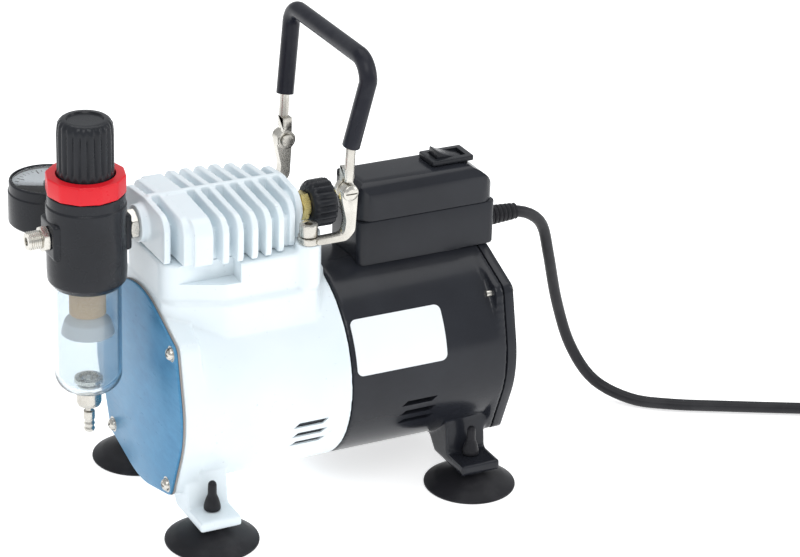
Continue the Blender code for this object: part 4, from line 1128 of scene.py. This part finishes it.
def make_handle():
    """Steel wire handle, its rubber sleeve and the pivot pins."""
    route = handle_route()
    wire = swept("handle_wire", route, ROD_R, 6)
    for side in (-1, 1):
        y = side * (PIVOT[1] - ARM_HALF - GAP - EYE_HALF)
        eye = rod("eye", 0.0052, y - EYE_HALF, y + EYE_HALF, (PIVOT[0], 0, PIVOT[2]), axis="y", segments=64)
        neck_low = (PIVOT[0] - 0.0022, min(y - EYE_HALF, side * PIVOT[1] - 0.0010), PIVOT[2] + 0.0068)
        neck_high = (PIVOT[0] + 0.0030, max(y + EYE_HALF, side * PIVOT[1] + 0.0010), PIVOT[2] + 0.0125)
        neck = block("neck", neck_low, neck_high)
        strap = block("strap", (PIVOT[0] - 0.0022, y - EYE_HALF, PIVOT[2]),
                      (PIVOT[0] + 0.0030, y + EYE_HALF, PIVOT[2] + 0.0125))
        join(wire, eye, strap, neck)
        cut(wire, rod("cutter", PIN_R + GAP, side * PIVOT[1] - 0.012, side * PIVOT[1] + 0.012,
                      (PIVOT[0], 0, PIVOT[2]), axis="y", segments=32))
    bevelled(wire, width=0.0003, segments=2, angle=50)
    show(wire, "steel", "handle", "handle_frame", angle=50)
    grip = swept("handle_sleeve", route[1:-1], GRIP_R, 8)
    bevelled(grip, width=0.0007, segments=3, angle=60)
    show(grip, "grip", "handle", "handle_grip", angle=60)
    for side, name in ((-1, "pivot_screw_right"), (1, "pivot_screw_left")):
        y = side * (PIVOT[1] + ARM_HALF + GAP)
        inner = side * (PIVOT[1] - ARM_HALF - GAP - 2 * EYE_HALF - GAP)
        outline = [(0, inner - side * 0.0016), (0.0034, inner - side * 0.0016), (0.0034, inner),
                   (PIN_R, inner), (PIN_R, y), (0.0044, y), (0.0042, y + side * 0.0012),
                   (0.0026, y + side * 0.0020), (0, y + side * 0.0022)]
        pin = lathe("pin_" + name[12:], outline, (PIVOT[0], 0, PIVOT[2]), "y", soft=0.0003, segments=48)
        ends = sorted((y + side * 0.0012, y + side * 0.0030))
        cut(pin, block("recess", (PIVOT[0] - 0.0032, ends[0], PIVOT[2] - 0.0004),
                       (PIVOT[0] + 0.0032, ends[1], PIVOT[2] + 0.0004)))
        show(pin, "steel", "machine", name)


# ---------------------------------------------------------------- feet and electrical box

def make_feet():
    """Suction feet, each with its stem through the pad."""
    neck = 0.0027
    outline = [(0.0, 0.0050), (0.0100, 0.0042), (0.0225, 0.0004), (0.0238, 0.0), (CUP_R, 0.0),
               (CUP_R, 0.0012), (0.0190, 0.0046), (0.0120, 0.0074), (0.0078, 0.0092), (0.0074, PAD_LOW - GAP),
               (neck, PAD_LOW - GAP), (neck, PAD_TOP + GAP), (0.0045, PAD_TOP + GAP), (0.0045, 0.0205),
               (0.0036, 0.0238), (0.0024, 0.0268), (0.0023, 0.0330), (0.0014, 0.0344), (0.0, 0.0348)]
    for x, end in zip(FOOT_X, ("front", "rear")):
        for side, hand in ((-1, "right"), (1, "left")):
            cup = lathe(f"cup_{end}_{hand}", outline, (x, side * FOOT_Y, 0), "z", soft=0.0008, segments=96)
            show(cup, "rubber", "machine", f"suction_foot_{end}_{hand}", angle=50)


def make_electrical_box():
    """Box saddled on the motor housing, and what it carries."""
    x0, x1 = BOX_X
    mid, half = (x0 + x1) / 2, (x1 - x0) / 2
    box = prism("box_body", rounded_outline(half, BOX_HALF, 0.004, 8), 0.115, BOX_SPLIT, (mid, 0, 0))
    bevelled(box, width=0.0006)
    cut(box, prism("cutter", rounded_outline(half - 0.0025, BOX_HALF - 0.0025, 0.003, 3), 0.1305, 0.17,
                   (mid, 0, 0)))
    cut(box, rod("cutter", BODY_R + GAP, 0.02, 0.20, on_axis(0), axis="x", segments=160))
    cut(box, prism("cutter", [(u * 1.012, v * 1.012) for u, v in cover_outline()], 0.1095, 0.1350,
                   on_axis(0), axis="x"))
    cut(box, rod("cutter", 0.0052, 0.12, 0.14, (0, 0, CORD_Z), axis="x", segments=48))
    show(box, "black", "machine", "electrical_box", angle=30)
    make_box_cap(mid, half)
    make_switch()
    bore = CORD_R + 2 * GAP
    gland = [(bore, 0.1265), (0.0049, 0.1265), (0.0049, 0.1308), (0.0075, 0.1308), (0.0070, 0.1330),
             (0.0056, 0.1345)]
    for k in range(6):
        x = 0.1355 + 0.0027 * k
        r = 0.0056 - 0.00018 * k
        gland += [(r, x), (r, x + 0.0014), (r - 0.0006, x + 0.0017), (r - 0.0006, x + 0.0024)]
    gland += [(0.0046, 0.1525), (bore, 0.1525)]
    sleeve = lathe("cord_sleeve", gland, (0, 0, CORD_Z), "x", soft=0.0002, segments=64)
    show(sleeve, "rubber", "machine", "cord_gland", angle=50)


def make_box_cap(mid, half):
    """Lid with round shoulders and a sloping rear end."""
    low = BOX_SPLIT + GAP
    cap = prism("box_lid", rounded_outline(half, BOX_HALF, 0.0095, 16), low, BOX_TOP, (mid, 0, 0))
    shoulder = []
    for k in range(17):
        a = math.pi / 2 * k / 16
        shoulder.append((0.0085 + 0.0095 * math.cos(a), BOX_TOP - 0.0095 * (1 - math.sin(a))))
    across = [(BOX_HALF + 0.0001, low - 0.01)] + shoulder
    across = across + [(-u, v) for u, v in across[::-1]]
    solve(cap, [prism("arch", across, BOX_X[0] - 0.01, BOX_X[1] + 0.01, (0, 0, 0), axis="x")], "INTERSECT")
    round_r = 0.020
    side = [(low - 0.01, BOX_X[0] - 0.001), (BOX_TOP - 0.007, BOX_X[0] - 0.001)]
    for k in range(11):
        a = math.pi / 2 * k / 10
        side.append((BOX_TOP - 0.007 * (1 - math.sin(a)), BOX_X[0] + 0.007 * (1 - math.cos(a))))
    for k in range(21):
        a = math.pi / 2 * (1 - k / 20)
        side.append((BOX_TOP - round_r * (1 - math.sin(a)), BOX_X[1] - round_r * (1 - math.cos(a))))
    side.append((low - 0.01, BOX_X[1] + 0.0001))
    solve(cap, [prism("profile", side, -0.03, 0.03, (0, 0, 0), axis="y")], "INTERSECT")
    cut(cap, prism("cutter", rounded_outline(half - 0.004, BOX_HALF - 0.003, 0.007, 4), low - 0.01, 0.1600,
                   (mid, 0, 0)))
    cut(cap, block("cutter", (BOX_X[0] + 0.010, -0.0095, low), (BOX_X[1] - 0.012, 0.0095, BOX_TOP - 0.003)))
    cut(cap, block("cutter", (SWITCH_X - 0.0102, -0.0063, 0.155), (SWITCH_X + 0.0102, 0.0063, 0.18)))
    show(cap, "black", "machine", "electrical_cap", angle=30)


def make_switch():
    """Rocker switch in its rim."""
    top = BOX_TOP + GAP
    rim = prism("switch_rim", rounded_outline(0.0125, 0.0085, 0.0012, 5), top, top + 0.0028,
                (SWITCH_X, 0, 0))
    bevelled(rim, width=0.0005, segments=3)
    join(rim, block("body", (SWITCH_X - 0.0099, -0.0060, 0.1560), (SWITCH_X + 0.0099, 0.0060, top + 0.001)))
    cut(rim, block("cutter", (SWITCH_X - 0.0090, -0.0052, 0.1605), (SWITCH_X + 0.0090, 0.0052, 0.18)))
    show(rim, "black_mould", "machine", "switch_bezel", angle=35)
    rocker = [(-0.0082, 0.0000), (-0.0070, -0.0080), (0.0070, -0.0080), (0.0082, -0.0020), (0.0081, -0.0004),
              (0.0040, 0.0003), (0.0000, 0.0012), (-0.0040, 0.0027), (-0.0078, 0.0046)]
    key = prism("switch_key", softened([(z, x) for x, z in rocker], 0.0006, 3), -0.0048, 0.0048,
                (SWITCH_X, 0, top + 0.0020), "y")
    bevelled(key, width=0.0003)
    show(key, "black_mould", "rocker", "switch_rocker", angle=35)


def make_label():
    """Blank plate wrapped round the black housing, level with its upper side."""
    start, end, low, high = 0.0310, 0.0840, math.radians(9), math.radians(40)
    corner, sheet, air = 0.0035, 0.00035, 0.00002
    half_x, half_u = (end - start) / 2, (high - low) * BODY_R / 2
    outline = rounded_outline(half_x, half_u, corner, 8)
    dense = []
    for k, (u, v) in enumerate(outline):
        w = outline[(k + 1) % len(outline)]
        steps = max(1, int(math.dist((u, v), w) / 0.0015))
        dense += [(u + (w[0] - u) * j / steps, v + (w[1] - v) * j / steps) for j in range(steps)]
    bm = bmesh.new()
    flat = [bm.verts.new((u, v, 0.0)) for u, v in dense]
    bm.faces.new(flat)
    for k in range(-24, 25):
        bmesh.ops.bisect_plane(bm, geom=bm.verts[:] + bm.edges[:] + bm.faces[:],
                               plane_co=(0, half_u * k / 25, 0), plane_no=(0, 1, 0))
    made = bmesh.ops.extrude_face_region(bm, geom=bm.faces[:])
    for vert in made["geom"]:
        if isinstance(vert, bmesh.types.BMVert):
            vert.co.z = sheet
    middle = (low + high) / 2
    for vert in bm.verts:
        a = middle + vert.co.y / BODY_R
        r = BODY_R + air + vert.co.z
        vert.co = Vector(((start + end) / 2 + vert.co.x, -r * math.cos(a), AXIS_Z + r * math.sin(a)))
    plate = from_bmesh("blank_label", bm)
    show(plate, "label", "machine", angle=40)


# ---------------------------------------------------------------- regulator, bowl, knob and gauge

def make_regulator():
    """Regulator body, lock ring and the fittings at its sides."""
    centre = (REG_X, 0, 0)
    outline = [(0, REG_LOW), (0.0180, REG_LOW), (0.0204, REG_LOW + 0.003), (REG_R, REG_LOW + 0.008),
               (REG_R, REG_TOP - 0.0060), (REG_R - 0.0007, REG_TOP - 0.0055), (REG_R - 0.0007, REG_TOP),
               (0.0150, REG_TOP), (0.0150, 0.1500), (0, 0.1500)]
    body = lathe("regulator_shell", outline, centre, "z", soft=0.0006, segments=128)
    for d in (0.0213, -0.0213):
        pad = block("pad", (REG_X + min(d, d * 0.5), -0.0100, PORT_Z - 0.010),
                    (REG_X + max(d, d * 0.5), 0.0100, PORT_Z + 0.010), bevel=0.0020, segments=4)
        join(body, pad)
    cut(body, rod("cutter", PORT_R, 0.0160, 0.03, (REG_X, 0, PORT_Z), axis="x", segments=48),
        rod("cutter", PORT_R, -0.03, -0.0160, (REG_X, 0, PORT_Z), axis="x", segments=48),
        rod("cutter", 0.0042, 0.0160, 0.03, (REG_X, 0, GAUGE_STEM_Z), axis="y", segments=48))
    show(body, "black_mould", "machine", "regulator_body", angle=40)
    sides = [(0.0208 * math.cos(math.pi * k / 6), 0.0208 * math.sin(math.pi * k / 6)) for k in range(12)]
    ring = prism("ring_collar", softened(sides, size=0.0012), REG_TOP + GAP, RING_TOP, centre)
    bevelled(ring, width=0.0009, segments=3, angle=40)
    cut(ring, rod("cutter", 0.0154, REG_TOP - 0.01, RING_TOP + 0.01, centre, segments=96))
    show(ring, "red", "machine", "lock_ring", angle=40)
    link = lathe("link_pipe",
                 [(0, -0.0810), (0.0045, -0.0810), *thread_outline(0.0045, -0.0805, -0.0768),
                  (0.0043, -0.0760), (0.0043, -0.0716), *thread_outline(0.0045, -0.0712, -0.0668),
                  (0, -0.0665)], (0, 0, PORT_Z), "x", soft=0.0001, segments=48)
    join(link, nut("flats", 0.0148, -0.0764, -0.0719, (0, 0, PORT_Z)))
    show(link, "steel", "machine", "air_nipple", angle=35)
    thread = [(r, -z) for r, z in thread_outline(0.0050, 0.0256, 0.0318)]
    outline = [(0.0022, -0.0162), (0.0045, -0.0162), (0.0045, -0.0250), (0.0046, -0.0254), *thread,
               (0.0046, -0.0325), (0.0022, -0.0325)]
    spout = lathe("spout", outline, (REG_X, 0, PORT_Z), "x", soft=0.0001, segments=64)
    join(spout, nut("flats", 0.0125, -0.0252, -0.0216, (REG_X, 0, PORT_Z)))
    cut(spout, rod("cutter", 0.0022, -0.04, -0.0140, (REG_X, 0, PORT_Z), axis="x", segments=32))
    show(spout, "steel", "machine", "outlet_fitting", angle=35)


def make_bowl():
    """Clear bowl with the filter inside and the drain below."""
    centre = (REG_X, 0, 0)
    top = REG_LOW - GAP
    outer = [(BOWL_R, top), (BOWL_R, BOWL_LOW + 0.011)]
    inner_r = BOWL_R - 0.0020
    corner = 0.010
    for k in range(1, 13):
        a = math.pi / 2 * k / 12
        outer.append((BOWL_R - corner * (1 - math.cos(a)), BOWL_LOW + 0.011 - 0.010 * math.sin(a)))
    outer += [(0.0046, BOWL_LOW), (0.0046, BOWL_LOW + 0.0022)]
    inner = []
    for k in range(13):
        a = math.pi / 2 * (1 - k / 12)
        inner.append((inner_r - 0.0085 * (1 - math.cos(a)), BOWL_LOW + 0.0120 - 0.0085 * math.sin(a)))
    inner.append((inner_r, top))
    show(turned("clear_bowl", outer + inner, centre, "z", segments=128), "clear", "machine",
         "filter_bowl", angle=60)
    element = [(0.0035, 0.1190), (0.0095, 0.1190), (0.0095, top), (0.0035, top)]
    show(lathe("sinter_sleeve", element, centre, "z", soft=0.0004, segments=64), "filter", "machine",
         "filter_element")
    baffle = [(0, 0.1110), (0.0070, 0.1110), (0.0130, 0.1075), (0.0140, 0.1085), (0.0120, 0.1150),
              (0.0070, 0.1187), (0, 0.1187)]
    show(lathe("swirl_cap", baffle, centre, "z", soft=0.0008, segments=96), "nylon", "machine",
         "filter_baffle", angle=50)
    low = BOWL_LOW
    seat = [(0.0022, low - 0.0085), (0.0058, low - 0.0085), (0.0066, low - 0.0065), (0.0066, low - 0.0003),
            (0.0042, low - 0.0003), (0.0042, low + 0.0042), (0.0075, low + 0.0042), (0.0075, low + 0.0078),
            (0.0050, low + 0.0085), (0.0050, low + 0.0060), (0.0022, low + 0.0050)]
    show(lathe("drain_collar", seat, centre, "z", soft=0.0004, segments=64), "steel", "machine",
         "drain_seat", angle=40)
    tip = 0.0500
    stem = [(0, tip), (0.0024, tip), (0.0030, tip + 0.0015), (0.0024, tip + 0.0030), (0.0030, tip + 0.0045),
            (0.0024, tip + 0.0060), (0.0030, tip + 0.0075), (0.0030, tip + 0.0118), (0.0018, tip + 0.0121),
            (0.0018, low + 0.0030), (0, low + 0.0030)]
    show(lathe("drain_stem", stem, centre, "z", soft=0.0003, segments=48), "steel", "drain",
         "drain_valve", angle=40)


def make_knob():
    """Fluted knob with a sunken top."""
    low, flute = 0.1905, 0.0011
    levels = [(0, 0.2060, 0), (0.0118, 0.2060, 0), (0.0118, low, 0), (KNOB_R - 0.0004, low, 0),
              (KNOB_R, low + 0.0005, 0), (KNOB_R, RING_TOP + 0.0020, 0),
              (KNOB_R, RING_TOP + 0.0035, flute), (KNOB_R, KNOB_TOP - 0.0075, flute),
              (KNOB_R - 0.0002, KNOB_TOP - 0.0050, flute * 0.9), (0.0141, KNOB_TOP - 0.0026, flute * 0.5),
              (0.0130, KNOB_TOP - 0.0008, 0.0002), (0.0118, KNOB_TOP, 0), (0.0096, KNOB_TOP, 0),
              (0.0090, KNOB_TOP - 0.0009, 0), (0, KNOB_TOP - 0.0009, 0)]
    knob = fluted("pressure_knob", levels, 22, (REG_X, 0, 0), 8)
    show(knob, "black_mould", "knob", "regulator_knob", angle=45)


def make_gauge():
    """Gauge with a plain dial of ticks under glass."""
    centre = (REG_X, GAUGE_Y, 0)
    outline = [(0, GAUGE_LOW), (GAUGE_R - 0.0012, GAUGE_LOW), (GAUGE_R, GAUGE_LOW + 0.0012),
               (GAUGE_R, GAUGE_TOP - 0.0060), (GAUGE_R - 0.0006, GAUGE_TOP - 0.0056),
               (GAUGE_R - 0.0006, GAUGE_TOP - 0.0008), (GAUGE_R - 0.0010, GAUGE_TOP), (DIAL_R, GAUGE_TOP),
               (DIAL_R, DIAL_Z), (0, DIAL_Z)]
    case = lathe("gauge_can", outline, centre, "z", soft=0.0003, segments=128)
    neck = [(0, 0.0165), (0.0038, 0.0165), (0.0038, 0.0216), (0.0052, 0.0216), (0.0052, 0.0385),
            (0, 0.0385)]
    join(case, lathe("neck", neck, (REG_X, 0, GAUGE_STEM_Z), "y", soft=0.0003, segments=48))
    cut(case, rod("cutter", DIAL_R, DIAL_Z, GAUGE_TOP + 0.01, centre, segments=128))
    show(case, "black_mould", "machine", "gauge_case", angle=40)
    show(rod("dial_face", 0.0188, DIAL_Z, DIAL_Z + 0.0002, centre, segments=96), "label", "machine")
    ticks = []
    for k in range(31):
        long = k % 5 == 0
        tick = block("tick", (-0.00028 if long else -0.00014, 0.0128 if long else 0.0146, DIAL_Z + 0.0002),
                     (0.00028 if long else 0.00014, 0.0168, DIAL_Z + 0.00026))
        tick.location = centre
        tick.rotation_euler = (0, 0, math.radians(135 - 9 * k))
        ticks.append(tick)
    show(merged("dial_ticks", ticks), "print", "machine")
    lens = lathe("gauge_glass",
                 [(0, GAUGE_TOP - 0.0018), (0.0186, GAUGE_TOP - 0.0018), (0.0186, GAUGE_TOP - 0.0004),
                  (0, GAUGE_TOP - 0.0004)], centre, "z", soft=0.0003, segments=96)
    show(lens, "lens", "machine", "gauge_lens")


def make_coil_tie():
    """Strap round the coil of the mains lead."""
    width, sheet = 0.0060, 0.0006
    outer = rounded_outline(0.0112, 0.0070, 0.0045, 10)
    inner = rounded_outline(0.0112 - sheet, 0.0070 - sheet, 0.0040, 10)
    band = prism("coil_tie", outer, -width / 2, width / 2, (0, 0, 0), "y")
    cut(band, prism("cutter", inner, -width, width, (0, 0, 0), "y"))
    middle = COIL_R
    a = math.radians(155)
    band.data.transform(Matrix.Rotation(math.radians(90), 4, "Y"))
    band.location = (COIL_CENTRE[0] + middle * math.cos(a), COIL_CENTRE[1] + middle * math.sin(a), 0.0072)
    band.rotation_euler = (0, 0, a)
    show(band, "rubber", "machine", angle=50)


make_intake()
make_brackets()
make_handle()
make_feet()
make_electrical_box()
make_label()
make_regulator()
make_bowl()
make_knob()
make_gauge()
make_coil_tie()
make_cord()


# ---------------------------------------------------------------- floor and light

FLOOR_SIZE = 6.0
FLOOR_Z = -0.0002
FLOOR_GLOW = 0.60                # lifts the floor to the white of the backdrop
ROOM_GLOW = 0.62


def make_stage():
    """White floor and an even, bright room."""
    bm = bmesh.new()
    bmesh.ops.create_grid(bm, x_segments=2, y_segments=2, size=FLOOR_SIZE)
    mesh = bpy.data.meshes.new("floor")
    bm.to_mesh(mesh)
    bm.free()
    floor = bpy.data.objects.new("floor", mesh)
    bpy.context.scene.collection.objects.link(floor)
    floor.location = (0, 0, FLOOR_Z)
    made, nodes, links, shader = tree("floor_paper")
    tone = grain(nodes, links, coordinates(nodes, links), 3.0)
    links.new(blend_colours(nodes, links, tone, (0.90, 0.90, 0.90), (0.93, 0.93, 0.93)),
              shader.inputs["Base Color"])
    shader.inputs["Roughness"].default_value = 0.7
    shader.inputs["Emission Color"].default_value = (1.0, 1.0, 1.0, 1.0)
    shader.inputs["Emission Strength"].default_value = FLOOR_GLOW
    mesh.materials.append(made)
    world = bpy.data.worlds.new("studio")
    world.use_nodes = True
    background = world.node_tree.nodes["Background"]
    background.inputs["Color"].default_value = (0.96, 0.98, 1.0, 1.0)
    background.inputs["Strength"].default_value = ROOM_GLOW
    bpy.context.scene.world = world
    bpy.context.scene.view_settings.view_transform = "Standard"


LIGHT_TARGET = (0.0, 0.0, 0.10)

# Area lights: place, size and power in watts
LIGHTS = {
    "key": ((-0.55, -1.00, 1.35), (0.9, 0.9), 7.2),
    "top": ((0.20, 0.25, 1.40), (1.4, 1.0), 6.5),
    "side": ((1.30, -0.70, 0.70), (0.5, 0.9), 4.0),
}


def add_light(name, place, size, power):
    """Area light that faces the machine."""
    data = bpy.data.lights.new(name, "AREA")
    data.shape = "RECTANGLE"
    data.size, data.size_y = size
    data.energy = power
    light = bpy.data.objects.new(name, data)
    bpy.context.scene.collection.objects.link(light)
    light.location = place
    light.rotation_euler = (Vector(LIGHT_TARGET) - Vector(place)).to_track_quat("-Z", "Y").to_euler()


make_stage()
for light_name, settings in LIGHTS.items():
    add_light(light_name, *settings)
